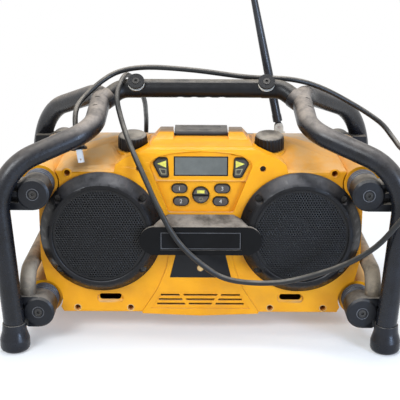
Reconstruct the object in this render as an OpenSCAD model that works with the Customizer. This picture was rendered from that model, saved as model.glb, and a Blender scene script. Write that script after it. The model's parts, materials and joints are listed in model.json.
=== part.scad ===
// Jobsite radio in a bent-tube roll cage, standing on four rubber feet.
// Origin: floor level, centre of the footprint. X right, Y to the rear, Z up.

/* [Cage] */
// Outside diameter of the cage tube
tube_d = 26; // [22:0.5:30]
// How far the leg axis stands off the housing's side at the floor
foot_out = 24; // [21:1:34]
// How far the corner of leg and arm stands off the housing's side
shoulder_out = 40; // [36:1:52]
// Half the distance between front and rear legs
leg_y = 151.5; // [140:0.5:165]
// Height of the corner of front leg and front arm
front_shoulder_z = 228; // [222:1:240]
// Bend radius between front leg and front arm
front_shoulder_r = 66; // [50:1:72]
// Height of the corner of rear leg and rear arm
rear_shoulder_z = 237; // [228:1:246]
// Bend radius between rear leg and rear arm
rear_shoulder_r = 112; // [80:1:118]
// Distance of the front arm's knee from the centre plane
knee_x = 132; // [126:1:138]
// How far the knee lies in front of the centre
knee_y = 100; // [90:1:110]
// Height of the knee
knee_z = 269; // [262:1:276]
// Bend radius at the knee
knee_r = 46; // [36:1:54]
// Distance of the apex from the centre plane
apex_x = 129; // [124:1:136]
// Fore and aft place of the apex
apex_y = 5; // [-5:1:15]
// Height of the apex
apex_z = 297; // [290:1:304]
// Bend radius at the apex
apex_r = 75; // [50:1:85]
// Outside diameter of the lower side rail
rail_d = 20; // [16:0.5:24]
// Height of the lower side rail
rail_z = 92; // [84:1:105]
// Bend radius of the lower side rail
rail_r = 22; // [18:1:30]

/* [Handle] */
// Diameter of the grip
grip_d = 24.5; // [20:0.5:28]
// Height of the grip axis
grip_z = 303; // [296:1:310]
// Fore and aft place of the grip axis
grip_y = -8; // [-16:1:0]
// Distance from the centre plane to the corner where the grip turns down
grip_corner_x = 104; // [98:1:110]
// Number of finger scallops under the grip
scallop_count = 4; // [2:1:6]
// Pitch of the finger scallops
scallop_pitch = 18; // [14:1:22]
// Diameter of the cord post heads
post_d = 21.5; // [16:0.5:26]
// Distance of the cord posts from the centre plane
post_x = 84; // [70:1:90]

/* [Feet] */
// Largest diameter of a foot
foot_d = 37; // [32:0.5:46]
// Height of a foot
foot_h = 36; // [30:1:46]
// Rubber under the tube's end
foot_sole = 10; // [6:1:16]

/* [Isolators] */
// How far the isolator axes lie inside the housing's side
iso_in = 2; // [0:0.5:6]
// Height of the lower isolators
iso_low_z = 45; // [40:1:50]
// Height of the upper isolators
iso_high_z = 198; // [190:1:204]
// Outside diameter of a rubber isolator
iso_d = 39; // [34:0.5:42]
// Diameter of the yellow collar on the housing
collar_d = 46; // [44:0.5:50]
// Diameter of the bracket's round head
bracket_d = 40; // [36:0.5:44]
// Depth of the bracket, fore and aft
bracket_depth = 30; // [24:1:34]
// Distance from the centre to the bracket's outer face
bracket_face_y = 142; // [138:1:148]
// Distance from the centre to the collar's end face
collar_face_y = 90; // [86:1:96]
// Shank diameter of the cage screws
cage_screw_d = 5; // [4:0.5:6]

/* [Housing] */
// Fore and aft place of the front face at its lower edge
face_y = -98; // [-104:1:-92]
// Height of the housing's lower edge
face_z = 27; // [22:1:34]
// How far the front face leans back
face_tilt = 3; // [0:0.5:5]
// Distance from the centre to the rear face
rear_y = 97; // [90:1:104]
// Wall thickness of both shells
wall = 3; // [2.5:0.5:4]
// Half width of the housing at speaker height
body_half_w = 204; // [198:1:210]
// How far the lower edge is set in on each side
base_in = 28; // [22:1:34]
// Top of the housing at the centre
body_top_z = 241; // [238:1:246]
// Height of the front crease above the speakers
crease_z = 214; // [208:1:220]
// Height of the ridge line over the shoulders
ridge_z = 239; // [234:1:241]

/* [Speakers] */
// Housing edge left outside the trim ring
ring_edge = 1; // [0.5:0.5:6]
// Height of the speaker axes above the lower edge
spk_h = 108; // [102:1:114]
// Outside diameter of the trim ring
ring_d = 155; // [148:1:160]
// How far the trim ring stands out
ring_out = 20; // [14:1:24]
// Width of the trim ring around the grille
ring_band = 16; // [13:0.5:20]
// Pitch of the holes in the grille
grille_pitch = 8; // [7:0.5:12]
// Distance of the ring screws from the ring's rim
ring_screw_in = 7.5; // [6:0.5:9]

/* [Controls] */
// Width of the display window
lcd_w = 68; // [50:1:72]
// Height of the display window
lcd_h = 25; // [18:0.5:27]
// Travel of the keys
key_travel = 1.2; // [0.5:0.1:1.6]
// Gap around each key
key_gap = 0.4; // [0.3:0.05:0.6]
// Diameter of the round split key
round_key_d = 21.4; // [18:0.1:23]
// Length of a preset key
preset_w = 20; // [16:0.5:22]
// Height of a preset key
preset_h = 12; // [9:0.5:13]
// Diameter of the knobs
knob_d = 38; // [32:0.5:42]
// Height of the knobs
knob_h = 18.5; // [14:0.5:24]
// Number of ribs round a knob
knob_ribs = 24; // [16:1:36]
// Distance of the knob axes from the centre plane
knob_x = 87.5; // [84:0.5:91]
// Forward lean of the knob axes
knob_lean = 10; // [4:1:16]

/* [Nameplate] */
// Distance of the nameplate's ends from the speaker axes
plate_end_gap = 49.5; // [46:0.5:56]
// Height of the nameplate's front
plate_h = 35.5; // [30:0.5:40]
// How far the nameplate stands out from the housing face
plate_out = 28; // [26:0.5:32]

/* [Antenna] */
// Distance of the antenna from the centre plane
whip_x = 108; // [100:1:112]
// Fore and aft place of the antenna
whip_y = 60; // [54:1:66]
// Height of the antenna's pivot
whip_pivot_z = 238; // [236:1:242]
// Lean of the antenna at rest
whip_lean = 12.3; // [0:0.1:20]
// Length of the antenna
whip_l = 335; // [200:1:340]
// Diameter of the antenna near its base
whip_d = 12; // [8:0.5:13]

/* [Battery bay] */
// Half width of the rear door
door_half_w = 70; // [66:1:74]
// Height of the door's hinge pin
hinge_z = 54; // [50:1:60]
// Diameter of the hinge pins
hinge_pin_d = 4; // [3:0.5:5]
// Half width of the battery bay
bay_half_w = 58; // [50:1:60]
// Floor height of the battery bay
bay_floor_z = 70; // [64:1:76]
// Ceiling height of the battery bay
bay_top_z = 198; // [190:1:202]
// Front wall of the battery bay
bay_front_y = 22; // [18:1:30]

/* [Mains lead] */
// Diameter of the mains lead
cord_d = 7; // [6:0.5:8]

/* [Hidden] */
$fn = 48;
fit = 0.05;           // radial clearance of a running shaft
gap = 0.4;            // clearance between parts that move past each other
tube_r = tube_d / 2;
foot_x = body_half_w + foot_out;
shoulder_x = body_half_w + shoulder_out;
iso_x = body_half_w - iso_in;
foot_axis_x = foot_x + (shoulder_x - foot_x) * foot_h / front_shoulder_z;
rail_x = iso_x + 14;
rail_y = 127;
base_half_w = body_half_w - base_in;
spk_x = body_half_w - ring_edge - ring_d / 2;
grille_d = ring_d - 2 * ring_band;
grille_r = grille_d / 2;
ring_r = ring_d / 2;
ring_screw_r = ring_r - ring_screw_in;
speaker_hole_r = grille_r - 2.5;
flange_r = speaker_hole_r + 7;   // rim of the speaker basket, under the trim ring
plate_w = 2 * (spk_x - plate_end_gap);
iso_z = [iso_low_z, iso_high_z];
door_gap = 0.6;
door_skin = 3;
hinge_y = rear_y + 1.5;
knuckle_half_w = 47.5;
knuckle_r = 4.6;
antenna_seat_z = 226.5;
antenna_seat_d = 22;
panel_back = 11;      // depth of the control panel's backing plate
board_z = 16;         // depth of the key board behind the face
knob_y = -45;
knob_z = 233.5;
pivot_y = -22;        // latch pivot
pivot_z = 247;
latch_room_y = -31;
latch_half_w = 34.5;
ear_in = latch_half_w + 1.7;
ear_out = 53;
bend_lap = 0.5;       // how far a straight length reaches into a bend
bend_step = 0.03;
collar_cut_y = -70;   // the shell's corners are cut away in front of this plane
seat_depth = 14;      // thickness of a knob seat
pocket_end_y = -25;   // bottom of the deep screw pockets
pot_w = 20;
grip_bend_r = 24;

// ---------------------------------------------------------------- helpers

function unit(v) = v / norm(v);
function turn_angle(a, b, c) = acos(max(-1, min(1, unit(b - a) * unit(c - b))));

// Mirrors children to the left side when s is -1
module side(s) { if (s < 0) mirror([1, 0, 0]) children(); else children(); }
module both_sides() { for (s = [-1, 1]) side(s) children(); }

// A straight rod between two points
module rod(a, b, r) {
    v = b - a;
    translate(a) rotate([0, acos(v.z / norm(v)), atan2(v.y, v.x)]) cylinder(h = norm(v), r = r);
}

// A round bar along corner points p, with bend radius rad[i] at corner i.
// Straight lengths are a hair thinner and reach a little way into the bends.
module bent_bar(p, rad, r) {
    n = len(p);
    cut = [for (i = [0 : n - 1]) (i == 0 || i == n - 1) ? 0
        : rad[i] * tan(turn_angle(p[i - 1], p[i], p[i + 1]) / 2)];
    for (i = [0 : n - 2]) {
        u = unit(p[i + 1] - p[i]);
        rod(p[i] + u * (cut[i] - (i > 0 ? bend_lap : 0)),
            p[i + 1] - u * (cut[i + 1] - (i < n - 2 ? bend_lap : 0)), r - bend_step);
    }
    for (i = [1 : n - 2]) {
        u = unit(p[i] - p[i - 1]);
        v = unit(p[i + 1] - p[i]);
        m = unit(v - (u * v) * u);
        k = cross(-m, u);
        c = p[i] - u * cut[i] + m * rad[i];
        multmatrix([[-m.x, u.x, k.x, c.x], [-m.y, u.y, k.y, c.y], [-m.z, u.z, k.z, c.z], [0, 0, 0, 1]])
            rotate_extrude(angle = turn_angle(p[i - 1], p[i], p[i + 1])) translate([rad[i], 0]) circle(r);
    }
}

// Outline with rounded corners: q is a list of [x, y, radius]
function xy(q) = [q.x, q.y];
function corner(a, b, c) = let (
        u = unit(xy(a) - xy(b)), v = unit(xy(c) - xy(b)),
        half = acos(max(-1, min(1, u * v))) / 2,
        t = b.z / tan(half),
        m = xy(b) + unit(u + v) * b.z / sin(half),
        s = xy(b) + u * t - m,
        side = (u.x * v.y - u.y * v.x) > 0 ? -1 : 1,
        turn = side * (180 - 2 * half), n = max(2, ceil(abs(turn) / 15)))
    b.z <= 0 || half > 89 ? [xy(b)]
        : [for (i = [0 : n]) m + [s.x * cos(turn * i / n) - s.y * sin(turn * i / n),
                                   s.x * sin(turn * i / n) + s.y * cos(turn * i / n)]];
function rounded(q) = let (n = len(q)) [for (i = [0 : n - 1]) each corner(q[(i + n - 1) % n], q[i], q[(i + 1) % n])];

// Moves every edge of a clockwise or counter-clockwise outline inward by d
function area2(q) = let (n = len(q)) [for (i = [0 : n - 1]) q[i].x * q[(i + 1) % n].y - q[(i + 1) % n].x * q[i].y]
    * [for (i = [0 : n - 1]) 1];
function inward(a, b, w) = let (e = unit(xy(b) - xy(a))) w * [-e.y, e.x];
function inset(q, d) = let (n = len(q), w = area2(q) > 0 ? 1 : -1) [for (i = [0 : n - 1]) let (
        a = q[(i + n - 1) % n], b = q[i], c = q[(i + 1) % n],
        n1 = inward(a, b, w), n2 = inward(b, c, w))
    [each (xy(b) + (n1 + n2) * d / (1 + n1 * n2)), max(b.z - d, 0)]];

function mirror_half(h) = concat(h, [for (i = [len(h) - 1 : -1 : 0]) if (h[i].x > 0) [-h[i].x, h[i].y, h[i].z]]);

// Extrudes an (X, Z) outline from y0 back to y1
module along_y(y0, y1) { translate([0, y1, 0]) rotate([90, 0, 0]) linear_extrude(y1 - y0) children(); }
// Extrudes a (Y, Z) profile to half width w on both sides
module across_x(w) { translate([-w, 0, 0]) rotate([90, 0, 90]) linear_extrude(2 * w) children(); }

// The leaning front face: x right, y up the face, z out of it
module face_frame() { translate([0, face_y, face_z]) rotate([90 - face_tilt, 0, 0]) children(); }
function face_h(z) = (z - face_z) / cos(face_tilt);

// The seat of a knob: z along its axis
module knob_frame(s) { translate([s * knob_x, knob_y, knob_z]) rotate([knob_lean, 0, 0]) children(); }

// ---------------------------------------------------------------- housing

half_outline = [[0, face_z, 0], [base_half_w, face_z, 2], [base_half_w + 8, face_z + 15, 3],
    [body_half_w - 6, 72, 10], [body_half_w, 100, 20], [body_half_w, 170, 20],
    [body_half_w - 8, 200, 10], [body_half_w - 32, 223, 8], [115, 237.5, 40], [70, body_top_z, 10], [0, body_top_z, 0]];
function face_at(z) = face_y + (z - face_z) * tan(face_tilt);
side_profile = [[face_y, face_z, 2], [face_at(crease_z), crease_z, 5], [-30, ridge_z, 14],
    [5, ridge_z + 1, 14], [50, 231, 40], [84, 212, 16], [rear_y, 188, 16], [rear_y, face_z + 20, 6],
    [rear_y - 18, face_z, 8]];

// The closed form of both shells, moved inward by d
module body_form(d) {
    intersection() {
        along_y(face_y - 5, rear_y + 5) polygon(rounded(inset(mirror_half(half_outline), d)));
        across_x(body_half_w + 20) polygon(rounded(inset(side_profile, d)));
    }
}

// Raised centre of the front shell, and the room inside it
hump_half = [[0, 250, 0], [57, 250, 0], [66, 241.5, 4], [80, 236, 30], [96, 229.5, 20], [107, 221, 6],
    [110, 205, 0], [0, 205, 0]];
brow_z = body_top_z + 2;         // front edge of the raised centre
brow_back_z = body_top_z + 4.5;  // its height in front of the latch
brow_r = 12;
hump_room_half = [[0, 237, 0], [63, 237, 4], [77.8, 223.4, 8], [92, 203, 0], [0, 203, 0]];
module hump_wedge(half, depth, back) {
    intersection() {
        along_y(face_y - 5, back) polygon(rounded(mirror_half(half)));
        across_x(120) polygon(rounded([[face_at(190) + depth, 190, 0], [face_at(brow_z) + depth, brow_z, brow_r],
            [latch_room_y, brow_back_z, 6], [-2, body_top_z, 0], [back, body_top_z, 0], [back, 190, 0]]));
    }
}
// Lugs on both sides of the latch, flared at the foot
ear_top_z = pivot_z + 6.5;
ear_outline = [[-54, 238, 0], [-50, brow_back_z - 1, 12], [-35, ear_top_z - 1.5, 6], [-28, ear_top_z, 4],
    [-11, ear_top_z, 3], [-6, 243, 3], [-4, 238, 0]];
module latch_ears() {
    intersection() {
        across_x(ear_out + 20) polygon(rounded(ear_outline));
        both_sides() along_y(-60, 0) polygon([[ear_in - 1, 238], [ear_out + 13, 238], [ear_out + 9.5, 242],
            [ear_out - 0.5, ear_top_z], [ear_in - 1, ear_top_z]]);
    }
}

module corner_bosses(y0, y1, r) {
    both_sides() for (z = iso_z) translate([iso_x, y1, z]) rotate([90, 0, 0]) cylinder(h = y1 - y0, r = r);
}

// Everything forward of the split plane, or behind it
module front_half() { translate([-300, -300, 0]) cube([600, 300, 400]); }
module rear_half() { translate([-300, 0, 0]) cube([600, 300, 400]); }

panel_low_half_w = 41;
panel_half = [[0, face_h(160), 0], [panel_low_half_w, face_h(160), 4], [66, face_h(224), 8], [51, face_h(233), 0],
    [36, face_h(236), 0], [18, face_h(237.7), 0], [0, face_h(238.2), 0]];
fold_h = face_h(200);

seek_outline = [[42, face_h(230.5), 3], [54, face_h(230), 4], [60.5, face_h(223), 4], [51, face_h(204.5), 4],
    [40, face_h(204.5), 3]];
function widen(q, d) = inset(q, -d);

module stadium(w, h) {
    square([w - h, h], center = true);
    for (s = [-1, 1]) translate([s * (w - h) / 2, 0]) circle(d = h);
}

preset_at = [[-27, face_h(190)], [-25, face_h(173.5)], [27, face_h(190)], [25, face_h(173.5)]];
round_at = [0, face_h(181.7)];
lcd_at = [0, face_h(219)];

module key_openings() {
    for (p = preset_at) translate(p) stadium(preset_w + 2 * key_gap, preset_h + 2 * key_gap);
    translate(round_at) circle(d = round_key_d + 2 * key_gap);
    for (s = [-1, 1]) side(s) polygon(rounded(widen(seek_outline, key_gap)));
}

// Screws that hold the shells together, as [x, z], and the one that holds the key board
case_holes = [[body_half_w - 36.5, 210.5], [base_half_w - 17.5, face_z + 6], [base_half_w - 86, face_z + 6]];
board_hole = [77.5, face_h(216.5)];
screw_pocket_d = 7.6;

// Oblong openings under the speakers, with a lip that slopes out below
port_at = [116, face_h(48)];
port_w = 28;
port_h = 8.5;
port_lip = 4;

insert_half_w = spk_x - 86.5;  // half width of the centre insert at its top
vent_half = [[0, face_h(22.5), 0], [insert_half_w + 38, face_h(25.5), 2], [insert_half_w + 16.5, face_h(58), 60],
    [insert_half_w + 5, face_h(86), 60], [insert_half_w, face_h(112), 1], [0, face_h(112), 0]];

module front_housing() color([0.93, 0.66, 0.16]) difference() {
    union() {
        intersection() {
            difference() {
                union() {
                    difference() {
                        union() { body_form(0); hump_wedge(hump_half, 0.1, 0); }
                        body_form(wall);
                        hump_wedge(hump_room_half, panel_back - 0.4, 5);
                    }
                    latch_ears();
                    intersection() {
                        face_frame() translate([-72, face_h(140), -panel_back]) cube([144, 95, panel_back]);
                        body_form(0);
                    }
                    both_sides() knob_frame(1) translate([0, 0, -seat_depth - 2]) cylinder(h = seat_depth + 2, r = 21);
                }
                // clearance round the collars
                corner_bosses(face_y - 10, collar_cut_y, collar_d / 2 + 1.5);
            }
            front_half();
        }
        corner_bosses(-collar_face_y, 0, collar_d / 2);
        // tubes of the deep screw pockets
        intersection() {
            both_sides() for (p = case_holes) translate([p.x, 0, p.y]) rotate([90, 0, 0]) cylinder(h = 110, r = 5.2);
            body_form(0.5);
        }
        // legs of the key board
        face_frame() both_sides() {
            for (p = [[48, face_h(163)], [62, face_h(202)]]) translate([p.x, p.y, -board_z])
                cylinder(h = board_z - panel_back + 1, d = 5);
            translate([board_hole.x, board_hole.y, -board_z]) cylinder(h = board_z - 1, r = 5.2);
        }
    }
    // speakers
    face_frame() both_sides() translate([spk_x, spk_h, -panel_back - 1])
        cylinder(h = panel_back + 13, r = speaker_hole_r);
    // control recess, display and keys
    face_frame() {
        translate([0, 0, -3.5]) linear_extrude(12) intersection() {
            polygon(rounded(mirror_half(panel_half)));
            translate([-100, fold_h - 5]) square([200, 60]);
        }
        translate([0, 0, -7]) linear_extrude(12) intersection() {
            polygon(rounded(mirror_half(panel_half)));
            translate([-100, 0]) square([200, fold_h]);
        }
        translate([0, 0, -panel_back - 5]) linear_extrude(20) key_openings();
        translate([lcd_at.x, lcd_at.y, 0]) cube([lcd_w + 0.2, lcd_h + 0.2, 12], center = true);
        translate([lcd_at.x, lcd_at.y, -10]) cube([lcd_w - 5, lcd_h - 5, 12], center = true);
    }
    // centre insert pocket
    face_frame() translate([0, 0, -2]) linear_extrude(12) polygon(rounded(mirror_half(vent_half)));
    face_frame() translate([0, 0, -wall - 2]) linear_extrude(10) vent_slots();
    // oblong recesses, screw pockets
    face_frame() both_sides() {
        translate([port_at.x, port_at.y, -wall - 2]) linear_extrude(12) stadium(port_w, port_h);
        translate([port_at.x, port_at.y, 0]) intersection() {
            translate([0, -port_lip / 2, -wall + 0.8]) linear_extrude(12) stadium(port_w + 6, port_h + port_lip);
            translate([-port_w, -port_h / 2 - port_lip, 0]) rotate([-atan(wall / (port_lip + 2)), 0, 0])
                cube([2 * port_w, 40, 20]);
        }
        translate([board_hole.x, board_hole.y, -9]) cylinder(h = 20, d = screw_pocket_d);
        translate([board_hole.x, board_hole.y, -30]) cylinder(h = 30, d = 4.4);
        translate([spk_x, spk_h, -6]) ring_screw_places() cylinder(h = 12, d = 4.2);
    }
    both_sides() for (p = case_holes) translate([p.x, 0, p.y]) rotate([90, 0, 0]) {
        translate([0, 0, -pocket_end_y]) cylinder(h = 120, d = screw_pocket_d);
        translate([0, 0, -1]) cylinder(h = 60, d = 4.4);
    }
    // knob seats
    both_sides() knob_frame(1) {
        cylinder(h = 30, r = knob_d / 2 + 1);
        translate([0, 0, -30]) cylinder(h = 40, r = 3.6);
        translate([0, 0, -seat_depth - 26]) cylinder(h = 26, r = 22);
    }
    // latch room and pin bores
    translate([-ear_in, latch_room_y, body_top_z - 1.4]) cube([2 * ear_in, 40, 30]);
    translate([-60, pivot_y, pivot_z]) rotate([0, 90, 0]) cylinder(h = 120, d = hinge_pin_d);
    // screws through the collars
    both_sides() for (z = iso_z) translate([iso_x, 1, z]) rotate([90, 0, 0]) cylinder(h = 100, d = cage_screw_d);
}

bay_back_y = rear_y - door_skin;
// door opening: from the top edge down to the hinge
door_top_y = 5;
door_low_z = hinge_z + 5;
module door_region(g) {
    translate([-door_half_w - g, door_top_y - g, door_low_z - g]) cube([2 * (door_half_w + g), 120, 220]);
}

module rear_housing() color([0.86, 0.60, 0.16]) difference() {
    union() {
        intersection() {
            difference() {
                union() {
                    difference() { body_form(0); body_form(wall); }
                    // tub of the battery bay
                    intersection() {
                        body_form(door_skin + 0.5);
                        translate([-bay_half_w - wall, bay_front_y - wall, bay_floor_z - wall])
                            cube([2 * (bay_half_w + wall), 120, bay_top_z - bay_floor_z + 2 * wall]);
                    }
                    // seat of the door's rim
                    intersection() {
                        body_form(door_skin + 0.5);
                        difference() {
                            translate([-door_half_w - 4, 0, door_low_z - 4]) cube([2 * door_half_w + 8, 120, 220]);
                            body_form(door_skin + 0.5 + wall);
                        }
                    }
                }
                difference() { door_region(door_gap); body_form(door_skin + 0.5); }
            }
            rear_half();
        }
        corner_bosses(0, collar_face_y, collar_d / 2);
        both_sides() for (p = case_holes) translate([p.x, 14, p.y]) rotate([90, 0, 0]) cylinder(h = 14, r = 5);
        intersection() {
            both_sides() translate([case_holes[0].x - 1.5, 0, case_holes[0].y]) cube([3, 14, 20]);
            body_form(1);
        }
        // trough behind the door's knuckle
        translate([-knuckle_half_w - 3, rear_y - wall - 3, hinge_z - 8])
            cube([2 * knuckle_half_w + 6, wall + 1, door_low_z - door_gap - hinge_z + 7.8]);
        // flat seat of the antenna
        translate([whip_x, whip_y, antenna_seat_z - 14]) cylinder(h = 14, d = antenna_seat_d);
        // hinge lugs
        for (x = [-60, 48]) hull() {
            translate([x, hinge_y, hinge_z]) rotate([0, 90, 0]) cylinder(h = 12, r = 5, $fn = 32);
            translate([x, rear_y - 6, hinge_z - 8]) cube([12, 5, 12]);
        }
    }
    translate([-bay_half_w, bay_front_y, bay_floor_z]) cube([2 * bay_half_w, 120, bay_top_z - bay_floor_z]);
    translate([-70, hinge_y, hinge_z]) rotate([0, 90, 0]) cylinder(h = 140, d = hinge_pin_d);
    both_sides() for (z = iso_z) translate([iso_x, collar_face_y + 1, z]) rotate([90, 0, 0])
        cylinder(h = collar_face_y + 2, d = cage_screw_d);
    both_sides() for (p = case_holes) translate([p.x, 13, p.y]) rotate([90, 0, 0]) cylinder(h = 20, d = 4.4);
    // mains lead and jack
    translate([cord_exit.x, 60, cord_exit.z]) rotate([-90, 0, 0]) cylinder(h = 60, d = 12);
    translate([120, 60, 82]) rotate([-90, 0, 0]) cylinder(h = 60, d = 8);
    // antenna socket
    translate([whip_x, whip_y, 200]) cylinder(h = 60, d = 10);
    translate([whip_x, whip_y, antenna_seat_z]) cylinder(h = 20, d = antenna_seat_d);
    // room of the door's knuckle
    translate([-knuckle_half_w - door_gap, hinge_y, hinge_z]) rotate([0, 90, 0])
        cylinder(h = 2 * (knuckle_half_w + door_gap), r = knuckle_r + door_gap);
    translate([-knuckle_half_w - door_gap, hinge_y - knuckle_r - door_gap, hinge_z])
        cube([2 * (knuckle_half_w + door_gap), 10, 6]);
    // the isolators stand on the collars
    corner_bosses(collar_face_y, rear_y + 10, collar_d / 2);
}

module vent_slots() {
    difference() {
        for (i = [0 : 2]) let (w = insert_half_w + 17 - 2.5 * i)
            translate([-w, face_h(37) + 6 * i]) square([2 * w, 2.6]);
        for (s = [-1, 1]) side(s) polygon([[24.5, face_h(55)], [29.5, face_h(55)],
            [15.5, face_h(31)], [10.5, face_h(31)]]);
    }
}
module vent_panel() color([0.93, 0.66, 0.16]) face_frame() difference() {
    translate([0, 0, -2]) linear_extrude(3.2) polygon(rounded(inset(mirror_half(vent_half), 0.15)));
    // sunk trapezoid with three slots and two diagonal ribs
    translate([0, 0, -0.3]) linear_extrude(4) polygon([[-insert_half_w - 11, face_h(54)],
        [insert_half_w + 11, face_h(54)], [insert_half_w + 25, face_h(32.5)], [-insert_half_w - 25, face_h(32.5)]]);
    translate([0, 0, -4]) linear_extrude(8) vent_slots();
    // seat of the label plate
    translate([0, 0, 0.2]) linear_extrude(4) polygon(label_outline(0.1));
}

label_half_w = insert_half_w - 9;
function label_outline(g) = [[-label_half_w - g, face_h(112.4)], [label_half_w + g, face_h(112.4)],
    [label_half_w + 9.3 + g, face_h(74.5) - g], [-label_half_w - 9.3 - g, face_h(74.5) - g]];
module label_plate() color([0.08, 0.08, 0.08]) face_frame() translate([0, 0, 0.2]) linear_extrude(1.2) difference() {
    polygon(label_outline(0));
    translate([0, face_h(87)]) circle(d = 8.6);
}

// ---------------------------------------------------------------- speakers

module at_speaker(s) { face_frame() translate([s * spk_x, spk_h, 0]) children(); }

ring_profile = [[grille_r + 0.2, 2.6], [grille_r + 0.2, ring_out - 0.4], [grille_r - 2, ring_out - 0.4],
    [grille_r - 2, ring_out + 0.8], [grille_r - 1, ring_out + 1.6], [grille_r + 3, ring_out + 1.2],
    [grille_r + 6.5, ring_out - 1.5], [ring_r - 2, 6], [ring_r, 4], [ring_r, 0],
    [flange_r + 0.2, 0], [flange_r + 0.2, 2.6]];

module ring_screw_places() {
    for (a = [41, 139, 221, 319]) rotate([0, 0, a]) translate([ring_screw_r, 0, 0]) children();
}

module speaker_ring() color([0.11, 0.11, 0.12]) difference() {
    rotate_extrude($fn = 96) polygon(ring_profile);
    ring_screw_places() {
        translate([0, 0, 6]) cylinder(h = 30, d = 9.5);
        translate([0, 0, -1]) cylinder(h = 20, d = 4.2);
    }
}
module speaker_ring_left() at_speaker(-1) speaker_ring();
module speaker_ring_right() at_speaker(1) speaker_ring();

// Perforated grille: hexagonal holes on a hexagonal pitch
module grille() color([0.10, 0.10, 0.11]) {
    rows = floor(grille_r / (grille_pitch * sin(60)));
    translate([0, 0, ring_out - 2]) linear_extrude(1.6) difference() {
        circle(r = grille_r);
        for (j = [-rows : rows], i = [-rows - 1 : rows + 1]) {
            c = [(i + (j % 2 == 0 ? 0 : 0.5)) * grille_pitch, j * grille_pitch * sin(60)];
            if (norm(c) < grille_r - grille_pitch * 0.6) translate(c) circle(d = grille_pitch * 0.74, $fn = 6);
        }
    }
    difference() {
        translate([0, 0, 2.6]) cylinder(h = ring_out - 4.6, r = grille_r);
        translate([0, 0, 0]) cylinder(h = ring_out, r = grille_r - 1.6);
    }
}
module grille_left() at_speaker(-1) grille();
module grille_right() at_speaker(1) grille();

basket_r = speaker_hole_r - 0.6;
cone_r = basket_r - 4.5;
basket_out = [[basket_r, -1], [basket_r, fit], [flange_r, fit], [flange_r, 2.6], [cone_r + 0.1, 2.6],
    [cone_r + 0.1, 0.4], [cone_r + 2.1, -2], [cone_r - 3.9, -16], [36, -34],
    [22, -34], [22, -37], [38, -37], [cone_r - 0.9, -17]];
module speaker_basket() color([0.15, 0.15, 0.16]) difference() {
    rotate_extrude($fn = 72) polygon(basket_out);
    for (a = [45 : 90 : 315]) rotate([0, 0, a]) translate([46, 0, -20]) cube([30, 34, 18], center = true);
}
module speaker_basket_left() at_speaker(-1) speaker_basket();
module speaker_basket_right() at_speaker(1) speaker_basket();

cone_profile = [[0, -14], [10, -16.5], [14, -21], [cone_r - 7.9, -3], [cone_r - 6.4, 1.2], [cone_r - 3.4, 2.6],
    [cone_r - 0.9, 1.2], [cone_r, 1.2], [cone_r, 2.4], [cone_r - 0.9, 2.6], [cone_r - 3.4, 4],
    [cone_r - 7.1, 2.4], [cone_r - 8.9, -2], [14, -19.4], [10, -15.2], [0, -12.6]];
module speaker_cone() color([0.07, 0.07, 0.08]) rotate_extrude($fn = 72) polygon(cone_profile);
module speaker_cone_left() at_speaker(-1) speaker_cone();
module speaker_cone_right() at_speaker(1) speaker_cone();

module speaker_magnet() color([0.3, 0.3, 0.32]) difference() {
    translate([0, 0, -56]) cylinder(h = 19, d = 76);
    translate([0, 0, -57]) cylinder(h = 18, d = 12);
}
module speaker_magnet_left() at_speaker(-1) speaker_magnet();
module speaker_magnet_right() at_speaker(1) speaker_magnet();

// ---------------------------------------------------------------- nameplate

bridge_top = face_h(158);
bridge_low = face_h(112.6);
plate_axis = face_h(131);
bridge_half_w = plate_w / 2 - 1;
bridge_half = [[0, bridge_low, 0], [bridge_half_w - 13, bridge_low, 0], [bridge_half_w, plate_axis, 0],
    [bridge_half_w - 15, face_h(148), 0], [panel_low_half_w, bridge_top, 3], [0, bridge_top, 0]];
module nameplate() color([0.10, 0.10, 0.11]) face_frame() difference() {
    union() {
        translate([0, plate_axis, ring_out + 1.8]) linear_extrude(plate_out - ring_out - 1.8)
            stadium(plate_w, plate_h);
        difference() {
            translate([0, 0, 1.2]) linear_extrude(plate_out - 1.2) polygon(rounded(mirror_half(bridge_half)));
            both_sides() translate([spk_x, spk_h, -1]) {
                cylinder(h = 6, r = ring_r + 0.3);
                translate([0, 0, 5]) cylinder(h = ring_out - 6 + 1, r1 = ring_r - 0.6, r2 = grille_r + 7);
                cylinder(h = ring_out + 2.8, r = grille_r + 7);
            }
        }
    }
    // the top face slopes down to the front
    translate([-100, bridge_top + 0.5, 0]) rotate([19, 0, 0]) translate([0, 0, -20]) cube([200, 40, 80]);
    // bare panel sunk in the front
    translate([0, plate_axis, plate_out - 0.6]) linear_extrude(3) square([plate_w - 50, plate_h - 11.5], center = true);
}

// ---------------------------------------------------------------- controls

module display_lens() color([0.35, 0.37, 0.36]) face_frame()
    translate([lcd_at.x, lcd_at.y, -5]) cube([lcd_w, lcd_h, 2], center = true);

module display_module() color([0.25, 0.45, 0.35]) face_frame()
    translate([-lcd_w / 2 - 3.5, lcd_at.y - lcd_h / 2 - 2, -board_z]) cube([lcd_w + 7, lcd_h + 4, board_z - panel_back]);

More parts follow.
